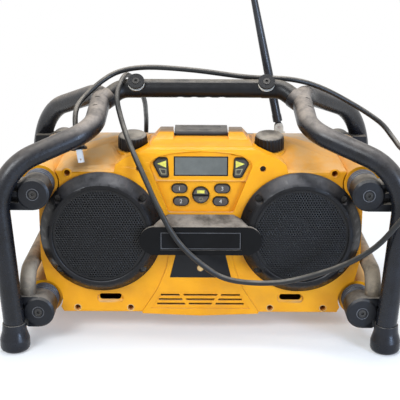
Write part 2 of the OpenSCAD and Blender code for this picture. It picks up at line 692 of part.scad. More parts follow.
module key(depth_top, depth_flange) {
    // children(0) is the cap's outline, children(1) the flange's
    translate([0, 0, -board_z + 2.6]) linear_extrude(board_z - 2.6 - depth_top) children(0);
    translate([0, 0, -board_z + 2.6]) linear_extrude(board_z - 2.6 - depth_flange) children(1);
}
flange_depth = panel_back + 0.4;
module preset_key(i) color([0.22, 0.20, 0.18]) face_frame() translate(preset_at[i]) key(4.2, flange_depth) {
    stadium(preset_w, preset_h);
    stadium(preset_w + 2.4, preset_h + 2.4);
}
module preset_key_1() preset_key(0);
module preset_key_2() preset_key(1);
module preset_key_3() preset_key(2);
module preset_key_4() preset_key(3);
module seek_key(s) color([0.20, 0.18, 0.15]) face_frame() side(s) key(1.4, flange_depth) {
    polygon(rounded(seek_outline));
    polygon(rounded(widen(seek_outline, 1.2)));
}
module seek_key_left() seek_key(-1);
module seek_key_right() seek_key(1);
module half_disc(r, s) intersection() {
    circle(r = r);
    translate([-30, s > 0 ? 0.35 : -60.35]) square([60, 60]);
}
module mode_key() color([0.22, 0.20, 0.18]) face_frame() translate(round_at) key(3.4, flange_depth) {
    half_disc(round_key_d / 2, 1);
    half_disc(round_key_d / 2 + 1.2, 1);
}
module power_key() color([0.22, 0.20, 0.18]) face_frame() translate(round_at) key(3.4, flange_depth) {
    half_disc(round_key_d / 2, -1);
    half_disc(round_key_d / 2 + 1.2, -1);
}

board_half_w = spk_x - 59.5;
board_t = 1.6;
module keypad_board() color([0.05, 0.35, 0.20]) face_frame()
    difference() {
        union() {
            translate([-board_half_w, bridge_top, -board_z - board_t])
                cube([2 * board_half_w, face_h(231) - bridge_top, board_t]);
            translate([-board_hole.x - 3.5, board_hole.y - 7.5, -board_z - board_t])
                cube([2 * board_hole.x + 7, 11, board_t]);
        }
        both_sides() translate([board_hole.x, board_hole.y, -board_z - 5]) cylinder(h = 10, d = 4.4);
    }

module knob() color([0.10, 0.10, 0.11]) difference() {
    union() {
        translate([0, 0, 0.6]) cylinder(h = knob_h - 2.1, d1 = knob_d - 2, d2 = knob_d - 3);
        translate([0, 0, knob_h - 1.5]) cylinder(h = 1.5, d1 = knob_d - 3, d2 = knob_d - 6);
        intersection() {
            for (i = [0 : knob_ribs - 1]) rotate([0, 0, 360 / knob_ribs * i])
                translate([knob_d / 2 - 3, -1.3, 0.6]) cube([3, 2.6, knob_h - 4]);
            translate([0, 0, 0.6]) cylinder(h = knob_h - 4, d1 = knob_d, d2 = knob_d - 1.6);
        }
    }
    translate([0, 0, -1]) cylinder(h = knob_h - 4, r = 3);
    translate([0, 0, knob_h - 1]) cylinder(h = 2, d = knob_d - 12);
    // pointer notch
    translate([-1, -knob_d / 2, knob_h - 0.8]) cube([2, 7, 2]);
}
module volume_knob() knob_frame(-1) knob();
module tuning_knob() knob_frame(1) knob();
module knob_shaft() color([0.75, 0.75, 0.78]) translate([0, 0, -24]) cylinder(h = 24 + knob_h - 5, r = 3);
module volume_shaft() knob_frame(-1) knob_shaft();
module tuning_shaft() knob_frame(1) knob_shaft();
module knob_control() color([0.45, 0.45, 0.48]) difference() {
    union() {
        translate([-pot_w / 2, -pot_w / 2, -26]) cube([pot_w, pot_w, 26 - seat_depth]);
        translate([0, 0, -seat_depth]) cylinder(h = 10, r = 3.55);
    }
    translate([0, 0, -24.2]) cylinder(h = 30, r = 3 + fit);
}
module volume_pot() knob_frame(-1) knob_control();
module tuning_encoder() knob_frame(1) knob_control();

// ---------------------------------------------------------------- latch and door

module top_latch() color([0.12, 0.12, 0.13]) difference() {
    union() {
        translate([-latch_half_w, pivot_y, pivot_z]) rotate([0, 90, 0]) cylinder(h = 2 * latch_half_w, r = 5.5);
        across_x(latch_half_w) polygon(rounded([[pivot_y, pivot_z - 3, 0], [7, pivot_z - 3, 1],
            [9, pivot_z + 1, 2], [6, pivot_z + 5, 3], [pivot_y, pivot_z + 5.5, 0]]));
    }
    translate([-60, pivot_y, pivot_z]) rotate([0, 90, 0]) cylinder(h = 120, d = hinge_pin_d + 2 * fit);
    // finger groove in the top
    across_x(latch_half_w - 9) polygon([[-14, pivot_z + 7], [-14, pivot_z + 4], [0, pivot_z + 4], [0, pivot_z + 7]]);
}
module latch_pin() color([0.7, 0.7, 0.72])
    translate([-ear_out + 4, pivot_y, pivot_z]) rotate([0, 90, 0]) cylinder(h = 2 * ear_out - 8, d = hinge_pin_d);

module battery_door() color([0.12, 0.12, 0.13]) difference() {
    union() {
        intersection() {
            difference() { body_form(0); body_form(door_skin); }
            door_region(0);
        }
        // raised ribs that stiffen the rear face
        for (z = [80 : 22 : 168]) translate([-50, rear_y - 1, z]) cube([100, 2.5, 5]);
        // hinge knuckle
        hull() {
            translate([-knuckle_half_w, hinge_y, hinge_z]) rotate([0, 90, 0])
                cylinder(h = 2 * knuckle_half_w, r = knuckle_r, $fn = 32);
            translate([-knuckle_half_w, rear_y - 2.5, hinge_z + 6]) cube([2 * knuckle_half_w, 2.5, 5]);
        }
    }
    translate([-70, hinge_y, hinge_z]) rotate([0, 90, 0]) cylinder(h = 140, d = hinge_pin_d + 2 * fit);
}
module door_hinge_pin() color([0.7, 0.7, 0.72])
    translate([-60, hinge_y, hinge_z]) rotate([0, 90, 0]) cylinder(h = 120, d = hinge_pin_d);

module battery_terminals() color([0.10, 0.10, 0.11]) union() {
    translate([-24, 45, bay_floor_z]) cube([48, 26, 10]);
    for (x = [-16, -5, 5, 16]) translate([x - 1, 48, bay_floor_z + 10]) cube([2, 18, 5]);
}

// ---------------------------------------------------------------- boards inside

module main_board() color([0.05, 0.35, 0.20]) union() {
    translate([-60, -62, face_z + wall + 8]) cube([120, 56, 1.6]);
    for (x = [-54, 54], y = [-56, -12]) translate([x, y, face_z + wall]) cylinder(h = 8, d = 6);
    translate([-30, -50, face_z + wall + 9.6]) cube([24, 16, 12]);
}
transformer_x = 16 - base_half_w;
core = [62, 46, 44];
winding_out = 8;
module transformer() color([0.35, 0.30, 0.25]) union() {
    translate([transformer_x, 24, face_z + wall]) cube(core);
    translate([transformer_x + 10, 24 - winding_out, face_z + wall + winding_out])
        cube(core + [-20, 2 * winding_out, -2 * winding_out]);
}
module aux_jack() color([0.10, 0.10, 0.11]) translate([120, 0, 82]) rotate([-90, 0, 0]) difference() {
    union() {
        translate([0, 0, rear_y - wall - 12]) cylinder(h = wall + 12, d = 8);
        translate([0, 0, rear_y]) cylinder(h = 1.6, d = 11);
        translate([0, 0, rear_y - wall - 2]) cylinder(h = 2, d = 13);
    }
    translate([0, 0, rear_y - 12]) cylinder(h = 20, d = 3.5);
}

// ---------------------------------------------------------------- antenna

module whip_frame() { translate([whip_x, whip_y, whip_pivot_z]) rotate([0, -whip_lean, 0]) children(); }
module across_y(h) { rotate([90, 0, 0]) translate([0, 0, -h / 2]) linear_extrude(h) children(); }

module antenna_base() color([0.62, 0.62, 0.60]) difference() {
    union() {
        translate([whip_x, whip_y, antenna_seat_z - 14]) cylinder(h = 18, d = 10);
        translate([whip_x, whip_y, antenna_seat_z]) cylinder(h = 4, d = antenna_seat_d - 4);
        translate([whip_x, whip_y, whip_pivot_z]) across_y(12) {
            circle(d = 12);
            translate([-6, -10]) square([12, 10]);
        }
    }
    translate([whip_x - 20, whip_y - 3.3, antenna_seat_z + 4]) cube([40, 6.6, 30]);
    translate([whip_x, whip_y, whip_pivot_z]) rotate([90, 0, 0]) translate([0, 0, -10]) cylinder(h = 20, d = 4);
}
module antenna_pin() color([0.75, 0.75, 0.78])
    translate([whip_x, whip_y + 6, whip_pivot_z]) rotate([90, 0, 0]) cylinder(h = 12, d = 4);
module antenna_whip() color([0.10, 0.10, 0.11]) whip_frame() difference() {
    union() {
        across_y(6) circle(d = 11);
        across_y(6) translate([-4, 0]) square([8, 9]);
        translate([0, 0, 8]) cylinder(h = 9, d = 13);
        translate([0, 0, 17]) cylinder(h = 65, d = whip_d);
        translate([0, 0, 82]) cylinder(h = 100, d1 = whip_d, d2 = whip_d * 0.74);
        translate([0, 0, 182]) cylinder(h = whip_l - 182, d1 = whip_d * 0.74, d2 = whip_d * 0.5);
        translate([0, 0, whip_l]) sphere(d = whip_d * 0.6);
    }
    rotate([90, 0, 0]) translate([0, 0, -10]) cylinder(h = 20, d = 4 + 2 * fit);
}

// ---------------------------------------------------------------- cage

// Corners of the right-hand side tube, from front foot to rear foot
cage_path = [[foot_x + (shoulder_x - foot_x) * foot_sole / front_shoulder_z, -leg_y, foot_sole],
    [shoulder_x, -leg_y, front_shoulder_z], [knee_x, -knee_y, knee_z], [apex_x, apex_y, apex_z],
    [shoulder_x, leg_y, rear_shoulder_z], [foot_x + (shoulder_x - foot_x) * foot_sole / rear_shoulder_z, leg_y, foot_sole]];
cage_radii = [0, front_shoulder_r, knee_r, apex_r, rear_shoulder_r, 0];
module cage_tube(r) { bent_bar(cage_path, cage_radii, r); }

// The grip starts at a flat joint on a stub of the side tube
grip_root = [apex_x, -26, 287.5];
grip_corner = [grip_corner_x, grip_y, grip_z];
grip_end = grip_root + unit(grip_corner - grip_root) * 16;
module cage_side() color([0.12, 0.12, 0.13]) union() {
    cage_tube(tube_r);
    rod(grip_root, grip_end, grip_d / 2 + 1);
}
module cage_left() side(-1) cage_side();
module cage_right() side(1) cage_side();

module rail_side() color([0.16, 0.15, 0.14]) difference() {
    bent_bar([[rail_x, -rail_y, iso_low_z + 5], [rail_x, -rail_y, rail_z], [rail_x, rail_y, rail_z],
        [rail_x, rail_y, iso_low_z + 5]], [0, rail_r, rail_r, 0], rail_d / 2);
    translate([-300, -300, 0]) cube([600, 600, iso_low_z + bracket_d / 2]);
}
module rail_left() side(-1) rail_side();
module rail_right() side(1) rail_side();

module handle() color([0.11, 0.11, 0.12]) difference() {
    bent_bar([[-grip_end.x, grip_end.y, grip_end.z], [-grip_corner.x, grip_corner.y, grip_corner.z],
        grip_corner, grip_end], [0, grip_bend_r, grip_bend_r, 0], grip_d / 2);
    both_sides() cage_tube(tube_r + fit);
    // finger scallops
    for (i = [0 : scallop_count - 1])
        translate([(i - (scallop_count - 1) / 2) * scallop_pitch, grip_y - 20, grip_z - grip_d / 2 - 7.2])
            rotate([-90, 0, 0]) cylinder(h = 40, r = 9.5);
    // bores of the post screws
    both_sides() post_frame() translate([0, 0, -8]) cylinder(h = 30, d = cage_screw_d);
}
module post_frame() { translate([post_x, grip_y, grip_z]) rotate([50, 0, 0]) children(); }
module cord_posts() color([0.10, 0.10, 0.11]) both_sides() post_frame() difference() {
    union() {
        translate([0, 0, 6]) cylinder(h = 12, d = 13);
        translate([0, 0, 14]) cylinder(h = 3, d1 = 14, d2 = post_d);
        translate([0, 0, 17]) cylinder(h = 2.5, d = post_d);
    }
    rotate([0, 90, 0]) translate([0, 0, -40]) cylinder(h = 80, d = grip_d);
    cylinder(h = 40, d = cage_screw_d);
    translate([0, 0, 16.5]) cylinder(h = 10, d = 9.6);
}

module feet() color([0.09, 0.09, 0.10]) both_sides() for (s = [-1, 1]) difference() {
    translate([foot_axis_x, s * leg_y, 0]) rotate_extrude() polygon(rounded([[0, 0, 0], [foot_d / 2, 0, 6],
        [foot_d / 2, 15, 5], [tube_r + 2.2, 26, 10], [tube_r + 1.4, foot_h, 0], [0, foot_h, 0]]));
    cage_tube(tube_r);
}

// ---------------------------------------------------------------- brackets and isolators

module bracket_blank(z) {
    difference() {
        union() {
            translate([iso_x, -bracket_face_y + 2, z]) rotate([-90, 0, 0]) cylinder(h = bracket_depth - 2, d = bracket_d);
            translate([iso_x, -bracket_face_y, z]) rotate([-90, 0, 0]) cylinder(h = 2, d1 = bracket_d - 6, d2 = bracket_d);
            translate([iso_x, -bracket_face_y + 1.5, z - bracket_d / 2])
                cube([shoulder_x - iso_x - 4, bracket_depth - 1.5, z > iso_low_z ? bracket_d * 0.85 : bracket_d]);
        }
        // slots beside the leg
        for (dz = [-11, 3]) translate([iso_x + 17.5, -bracket_face_y - 1, z + dz]) cube([10, 12, 8]);
        translate([iso_x, 0, z]) rotate([90, 0, 0]) cylinder(h = 200, d = cage_screw_d);
        translate([iso_x, -bracket_face_y + 4, z]) rotate([90, 0, 0]) cylinder(h = 20, d = 10.5);
    }
}
module bracket_row(f) both_sides() for (z = iso_z) difference() {
    mirror([0, f, 0]) bracket_blank(z);
    cage_tube(tube_r);
    for (s = [-1, 1]) translate([foot_axis_x, s * leg_y, 0]) cylinder(h = foot_h + gap, r = foot_d / 2 + gap);
}
module front_brackets() color([0.13, 0.13, 0.14]) bracket_row(0);
module rear_brackets() color([0.13, 0.13, 0.14]) bracket_row(1);

iso_l = bracket_face_y - bracket_depth - collar_face_y;
module isolators() color([0.14, 0.14, 0.15]) both_sides() for (f = [0, 1], z = iso_z) mirror([0, f, 0]) difference() {
    translate([iso_x, -collar_face_y, z]) rotate([90, 0, 0]) union() {
        cylinder(h = iso_l, d = iso_d - 4);
        for (i = [0 : 3]) translate([0, 0, i * (iso_l - 3.4) / 3]) cylinder(h = 3.4, d = iso_d);
    }
    translate([iso_x, 0, z]) rotate([90, 0, 0]) cylinder(h = 200, d = cage_screw_d);
}

module cap_screw(l, head_d) {
    difference() {
        union() {
            cylinder(h = 3.6, d = head_d);
            translate([0, 0, -l]) cylinder(h = l, d = cage_screw_d);
        }
        translate([0, 0, 1.6]) cylinder(h = 4, d = 4.4, $fn = 6);
    }
}
module cage_screws() color([0.20, 0.20, 0.21]) {
    both_sides() for (f = [0, 1], z = iso_z) mirror([0, f, 0])
        translate([iso_x, -bracket_face_y + 4, z]) rotate([90, 0, 0]) cap_screw(90, 9.6);
    both_sides() post_frame() translate([0, 0, 16.5]) cap_screw(20, 9);
}

module case_screw(l, head_d, d) {
    difference() {
        union() {
            cylinder(h = 2.6, d = head_d);
            translate([0, 0, -l]) cylinder(h = l, d = d);
        }
        translate([-2.4, -0.5, 1.4]) cube([4.8, 1, 3]);
        translate([-0.5, -2.4, 1.4]) cube([1, 4.8, 3]);
    }
}
module case_screws() color([0.22, 0.21, 0.20]) {
    for (s = [-1, 1]) at_speaker(s) ring_screw_places() translate([0, 0, 6]) case_screw(9, 8, 4.2);
    face_frame() both_sides() translate([board_hole.x, board_hole.y, -9]) case_screw(11, screw_pocket_d - 0.4, 4.4);
    both_sides() for (p = case_holes) translate([p.x, pocket_end_y, p.y]) rotate([90, 0, 0])
        case_screw(36, screw_pocket_d - 0.4, 4.4);
}

// ---------------------------------------------------------------- mains lead

cord_exit = [-81, 97, 168];
relief_l = 30;
exit_way = [0, 1, 0];
plug_way = unit([4, -6, -22]);
// Route of the lead from the strain relief to the plug, round points in millimetres
cord_route = [[-81, 127, 168], [-82, 149, 176], [-83, 161, 195], [-82, 158, 219], [-81, 136, 239],
    [-80, 79, 272], [-87, 31, 303], [-96, 1, 319], [-102, -22, 316], [-107, -41, 298], [-101, -58, 274],
    [-88, -86, 246], [-68, -108, 207], [-51, -121, 173], [-27, -128, 133], [7, -128, 100], [37, -128, 84],
    [84, -131, 81], [125, -137, 90], [174, -153, 114], [209, -167, 143], [234, -175, 178],
    [251, -170, 200], [261, -152, 214], [268, -113, 227], [269, -60, 229], [263, -19, 227], [255, 2, 237],
    [239, 14, 255], [201, 19, 279], [155, 10, 303], [115, 3, 314], [62, 5, 316], [-9, 4, 325],
    [-69, 2, 329], [-106, -1, 324], [-130, -13, 312], [-152, -32, 293], [-158, -54, 282], [-157, -70, 262]];

// Smooth curve through the route points, which starts and ends in the given directions
function between(a, b, c, d, t) = (2 * b + (c - a) * t + (2 * a - 5 * b + 4 * c - d) * t * t
    + (3 * b - a - 3 * c + d) * t * t * t) / 2;
function smooth_path(p, first, last, steps) = let (n = len(p),
        q = concat([p[0] - first * norm(p[1] - p[0])], p, [p[n - 1] + last * norm(p[n - 1] - p[n - 2])]))
    concat([for (i = [0 : n - 2], j = [0 : steps - 1]) between(q[i], q[i + 1], q[i + 2], q[i + 3], j / steps)],
        [p[n - 1]]);

// Ring of points round each point of the curve, carried along without twist
function tangents(p, first, last) = [for (i = [0 : len(p) - 1])
    i == 0 ? first : i == len(p) - 1 ? last : unit(p[i + 1] - p[i - 1])];
function carried(t, i) = i == 0 ? [[1, 0, 0]] : let (
        before = carried(t, i - 1), n = before[i - 1], m = unit(n - (n * t[i]) * t[i]))
    concat(before, [m]);
module swept_cord(p, first, last, d, sides) {
    t = tangents(p, first, last);
    ups = carried(t, len(p) - 1);
    pts = [for (i = [0 : len(p) - 1], k = [0 : sides - 1])
        p[i] + d / 2 * (cos(360 * k / sides) * ups[i] + sin(360 * k / sides) * cross(t[i], ups[i]))];
    n = len(p);
    polyhedron(pts, concat(
        [[for (k = [0 : sides - 1]) k]],
        [for (i = [0 : n - 2], k = [0 : sides - 1]) let (q = (k + 1) % sides)
            [i * sides + k, (i + 1) * sides + k, (i + 1) * sides + q, i * sides + q]],
        [[for (k = [sides - 1 : -1 : 0]) (n - 1) * sides + k]]), convexity = 10);
}
module power_cord() color([0.12, 0.12, 0.12])
    swept_cord(smooth_path(cord_route, exit_way, plug_way, 2), exit_way, plug_way, cord_d, 10);

module strain_relief() color([0.10, 0.10, 0.10]) translate(cord_exit) rotate([-90, 0, 0]) union() {
    translate([0, 0, -wall - 1]) cylinder(h = wall + 1, d = 12);
    cylinder(h = 4, d = 15);
    translate([0, 0, 4]) cylinder(h = relief_l - 4, d1 = 12, d2 = cord_d + 1);
}

// The plug hangs from the end of the lead, blades down
plug_at = cord_route[len(cord_route) - 1];
module plug_frame() {
    translate(plug_at) rotate([0, acos(plug_way.z), atan2(plug_way.y, plug_way.x)]) rotate([0, 0, 32]) children();
}
module plug_body() color([0.10, 0.10, 0.11]) plug_frame() difference() {
    union() {
        cylinder(h = 12, d1 = 9, d2 = 14);
        hull() {
            translate([0, 0, 9]) cylinder(h = 2, d = 15, $fn = 32);
            translate([-10, -7, 16]) cube([20, 14, 6]);
        }
        translate([-13, -9, 22]) cube([26, 18, 4]);
    }
    for (s = [-1, 1]) translate([s * 6.35 - 0.75, -3.2, 16]) cube([1.5, 6.4, 20]);
}
module plug_blades() color([0.82, 0.82, 0.80]) plug_frame() for (s = [-1, 1]) difference() {
    translate([s * 6.35 - 0.75, -3.2, 16]) cube([1.5, 6.4, 26]);
    translate([s * 6.35 - 2, 0, 38]) rotate([0, 90, 0]) cylinder(h = 4, d = 3.2);
}

// ---------------------------------------------------------------- nodes

front_housing();
rear_housing();
vent_panel();
speaker_ring_left();
speaker_ring_right();
grille_left();
grille_right();
speaker_basket_left();
speaker_basket_right();
speaker_cone_left();
speaker_cone_right();
speaker_magnet_left();
speaker_magnet_right();
nameplate();
label_plate();
display_lens();
display_module();
preset_key_1();
preset_key_2();
preset_key_3();
preset_key_4();
seek_key_left();
seek_key_right();
mode_key();
power_key();
keypad_board();
volume_knob();
tuning_knob();
volume_shaft();
tuning_shaft();
volume_pot();
tuning_encoder();
top_latch();
latch_pin();
battery_door();
door_hinge_pin();
battery_terminals();
main_board();
transformer();
aux_jack();
antenna_base();
antenna_pin();
antenna_whip();
cage_left();
cage_right();
rail_left();
rail_right();
handle();
cord_posts();
feet();
front_brackets();
rear_brackets();
isolators();
cage_screws();
case_screws();
power_cord();
strain_relief();
plug_body();
plug_blades();
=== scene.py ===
import json
import math

import bmesh
import bpy
from mathutils import Matrix, Vector

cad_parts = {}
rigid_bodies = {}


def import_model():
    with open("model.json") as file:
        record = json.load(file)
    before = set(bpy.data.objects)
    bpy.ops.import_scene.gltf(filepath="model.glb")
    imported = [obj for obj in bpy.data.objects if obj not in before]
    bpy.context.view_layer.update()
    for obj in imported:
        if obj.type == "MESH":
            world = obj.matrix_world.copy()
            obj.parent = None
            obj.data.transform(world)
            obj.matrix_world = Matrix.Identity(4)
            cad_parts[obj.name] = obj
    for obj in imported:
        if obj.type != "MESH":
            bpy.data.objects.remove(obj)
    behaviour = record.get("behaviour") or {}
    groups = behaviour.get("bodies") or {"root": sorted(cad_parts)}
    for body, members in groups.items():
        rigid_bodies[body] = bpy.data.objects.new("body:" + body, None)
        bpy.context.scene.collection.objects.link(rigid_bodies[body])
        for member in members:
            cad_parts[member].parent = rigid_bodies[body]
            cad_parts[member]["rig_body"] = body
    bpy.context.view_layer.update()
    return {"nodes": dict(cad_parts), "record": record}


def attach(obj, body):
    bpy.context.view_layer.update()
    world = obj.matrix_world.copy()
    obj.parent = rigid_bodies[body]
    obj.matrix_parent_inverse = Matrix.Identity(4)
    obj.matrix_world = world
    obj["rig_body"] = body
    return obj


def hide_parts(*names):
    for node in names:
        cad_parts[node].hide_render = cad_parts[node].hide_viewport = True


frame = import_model()
NODES = frame["nodes"]
SUBPARTS = frame["record"]["subparts"]
MM = 0.001
SIDES = ((-1, "left"), (1, "right"))


def link(name, data):
    obj = bpy.data.objects.new(name, data)
    bpy.context.scene.collection.objects.link(obj)
    return obj


def placed(x, y, z):
    """A move by millimetres."""
    return Matrix.Translation((x * MM, y * MM, z * MM))


def turned(degrees, axis="X"):
    return Matrix.Rotation(math.radians(degrees), 4, axis)


# ---------------------------------------------------------------- camera

CAMERA_PLACE = (0, -1220.6, 522.1)
CAMERA_PITCH, CAMERA_ROLL = 17.0, 0.25      # degrees
FOCAL_LENGTH, SENSOR_WIDTH = 84.6, 36.0     # millimetres
SHIFT_X = -0.002


def camera():
    data = bpy.data.cameras.new("camera")
    data.lens = FOCAL_LENGTH
    data.sensor_width = SENSOR_WIDTH
    data.shift_x = SHIFT_X
    obj = link("camera", data)
    obj.matrix_world = placed(*CAMERA_PLACE) @ turned(90 - CAMERA_PITCH) @ turned(CAMERA_ROLL, "Z")
    bpy.context.scene.camera = obj
    bpy.context.scene.view_settings.view_transform = "Standard"


camera()


# ---------------------------------------------------------------- mains lead

CORD_ROUTE = [
    (-81, 127, 168), (-82, 149, 176), (-83, 161, 195), (-82, 158, 219), (-81, 136, 239),
    (-80, 79, 272), (-87, 31, 303), (-96, 1, 319), (-102, -22, 316), (-107, -41, 298), (-101, -58, 274),
    (-88, -86, 246), (-68, -108, 207), (-51, -121, 173), (-27, -128, 133), (7, -128, 100), (37, -128, 84),
    (84, -131, 81), (125, -137, 90), (174, -153, 114), (209, -167, 143), (234, -175, 178),
    (251, -170, 200), (261, -152, 214), (268, -113, 227), (269, -60, 229), (263, -19, 227), (255, 2, 237),
    (239, 14, 255), (201, 19, 279), (155, 10, 303), (115, 3, 314), (62, 5, 316), (-9, 4, 325),
    (-69, 2, 329), (-106, -1, 324), (-130, -13, 312), (-152, -32, 293), (-158, -54, 282), (-157, -70, 262)]
EXIT_WAY = Vector((0, 1, 0))
PLUG_WAY = Vector((4, -6, -22)).normalized()
CORD_R = 3.5 * MM
CORD_SKIN_R = CORD_R - 0.12 * MM            # drawn a touch thinner than it is
CORD_STEPS, CORD_SIDES = 5, 20


def smooth_path(points, first, last, steps):
    """Catmull-Rom points through a route, in metres, with its end directions."""
    p = [Vector(q) * MM for q in points]
    p = [p[0] - first * (p[1] - p[0]).length] + p + [p[-1] + last * (p[-1] - p[-2]).length]
    out = []
    for i in range(1, len(p) - 2):
        a, b, c, d = p[i - 1:i + 3]
        for k in range(steps):
            t = k / steps
            out.append(0.5 * (2 * b + (c - a) * t + (2 * a - 5 * b + 4 * c - d) * t * t
                              + (3 * b - a - 3 * c + d) * t ** 3))
    out.append(p[-2])
    return out


def sweep(path, radius, sides, start=Vector((0, 0, 1))):
    """A closed round bar along a path; radius is a number or radius(point, angle)."""
    verts, faces, side = [], [], start
    for i, p in enumerate(path):
        t = (path[min(i + 1, len(path) - 1)] - path[max(i - 1, 0)]).normalized()
        side = (side - t * side.dot(t)).normalized()
        other = t.cross(side)
        for k in range(sides):
            a = 2 * math.pi * k / sides
            r = radius(p, a) if callable(radius) else radius
            verts.append(p + r * (side * math.cos(a) + other * math.sin(a)))
    for i in range(len(path) - 1):
        for k in range(sides):
            n = (k + 1) % sides
            faces.append((i * sides + k, i * sides + n, (i + 1) * sides + n, (i + 1) * sides + k))
    faces.append(tuple(range(sides)))
    faces.append(tuple((len(path) - 1) * sides + k for k in range(sides)))
    return verts, faces


cord_path = smooth_path(CORD_ROUTE, EXIT_WAY, PLUG_WAY, CORD_STEPS)
cord_mesh = bpy.data.meshes.new("mains_lead")
cord_verts, cord_faces = sweep(cord_path, CORD_SKIN_R, CORD_SIDES)
cord_mesh.from_pydata(cord_verts, [], cord_faces)
cord = link("mains_lead", cord_mesh)


# ---------------------------------------------------------------- materials

def srgb(r, g, b):
    def one(c):
        c /= 255
        return c / 12.92 if c <= 0.04045 else ((c + 0.055) / 1.055) ** 2.4
    return (one(r), one(g), one(b), 1.0)


class Shader:
    """A material's node tree with short calls for the nodes used here."""

    def __init__(self, name):
        self.mat = bpy.data.materials.new(name)
        self.mat.use_nodes = True
        self.nodes = self.mat.node_tree.nodes
        self.links = self.mat.node_tree.links
        self.bsdf = self.nodes["Principled BSDF"]
        self.coord = self.nodes.new("ShaderNodeTexCoord")

    def put(self, socket, value):
        if isinstance(value, bpy.types.NodeSocket):
            self.links.new(value, socket)
        else:
            socket.default_value = value

    def finish(self, **values):
        """Sets the shader's own sockets by name, with _ for a space."""
        for key, value in values.items():
            self.put(self.bsdf.inputs[key.replace("_", " ")], value)

    def node(self, kind, *inputs, **props):
        node = self.nodes.new("ShaderNode" + kind)
        for key, value in props.items():
            setattr(node, key, value)
        for socket, value in zip(node.inputs, inputs):
            self.put(socket, value)
        return node

    def noise(self, scale, detail, rough=0.55):
        node = self.node("TexNoise")
        self.put(node.inputs["Vector"], self.coord.outputs["Object"])
        node.inputs["Scale"].default_value = scale
        node.inputs["Detail"].default_value = detail
        node.inputs["Roughness"].default_value = rough
        return node.outputs["Fac"]

    def ramp(self, value, lo, hi, out_lo=0.0, out_hi=1.0):
        """A smooth step from out_lo at lo to out_hi at hi."""
        node = self.node("MapRange", interpolation_type="SMOOTHSTEP")
        for name, v in zip(("Value", "From Min", "From Max", "To Min", "To Max"),
                           (value, lo, hi, out_lo, out_hi)):
            self.put(node.inputs[name], v)
        return node.outputs[0]

    def math(self, operation, a, b=0.0):
        return self.node("Math", a, b, operation=operation).outputs[0]

    def times(self, a, b):
        return self.math("MULTIPLY", a, b)

    def mix(self, factor, a, b):
        node = self.node("Mix", data_type="RGBA")
        self.put(node.inputs["Factor"], factor)
        self.put(node.inputs[6], a)
        self.put(node.inputs[7], b)
        return node.outputs[2]

    def up(self):
        """How far a surface faces upwards, in the piece's own space."""
        return self.node("SeparateXYZ", self.coord.outputs["Normal"]).outputs[2]

    def axis(self, k):
        """A point's x, y or z in metres, in the piece's own space."""
        return self.node("SeparateXYZ", self.coord.outputs["Object"]).outputs[k]

    def bump(self, height, strength, distance):
        node = self.node("Bump")
        node.inputs["Strength"].default_value = strength
        node.inputs["Distance"].default_value = distance
        self.put(node.inputs["Height"], height)
        self.put(self.bsdf.inputs["Normal"], node.outputs[0])


# Noise values between which the base turns to the shade, the gloss changes and a smear or dust shows
BLOTCH_STEP = (0.35, 0.68)
GLOSS_STEP = (0.3, 0.7)
SMEAR_STEP = (0.48, 0.72)
PATCH_STEP = (0.28, 0.66)
PATCH_SCALE, PATCH_LEAST = 45, 0.25         # dust patches, and the share of dust between them
GLOSS_LESS, GLOSS_MORE = 0.06, 0.08         # how far roughness goes below and above its value
DUST_ROUGHNESS = 0.95
BUMP_DISTANCE = 0.4 * MM
# Places in metres between which dust comes or goes, and shares of it
CLEAN_EDGE = (0.8, 1.25)                    # of the half width
CLEAN_DROP = 0.01
RIGHT_STEP, RIGHT_SHARE = (0.05, -0.05), 0.75
REAR_STEP, REAR_SHARE = (0.0, 0.06), 0.75
CLEAR_SHARE = 0.3
EAR_Z, EAR_UP, EAR_DUST = (0.2508, 0.2528), (0.2, 0.8), (128, 104, 78)


def outside_clean(s, mask, half_width, height):
    """Takes the dust off the middle of a piece above a height, and a quarter of it off the right half."""
    x = s.axis(0)
    side = s.ramp(s.math("ABSOLUTE", x), *(half_width * share for share in CLEAN_EDGE))
    low = s.ramp(s.axis(2), height, height - CLEAN_DROP)
    mask = s.times(mask, s.math("MAXIMUM", side, low))
    return s.times(mask, s.ramp(x, *RIGHT_STEP, RIGHT_SHARE, 1.0))


def brown_ears(s, colour):
    """Brown dust on the tops of the two ears that hold the latch."""
    ears = s.times(s.ramp(s.axis(2), *EAR_Z), s.ramp(s.up(), *EAR_UP))
    return s.mix(ears, colour, srgb(*EAR_DUST))


def heavy_inside(s, mask, clear, full):
    """Leaves less dust beyond a distance from the middle, except on the rear half."""
    rear = s.ramp(s.axis(1), *REAR_STEP, 0.0, REAR_SHARE)
    share = s.ramp(s.math("ABSOLUTE", s.axis(0)), clear, full, CLEAR_SHARE, 1.0)
    return s.times(mask, s.math("MAXIMUM", share, rear))


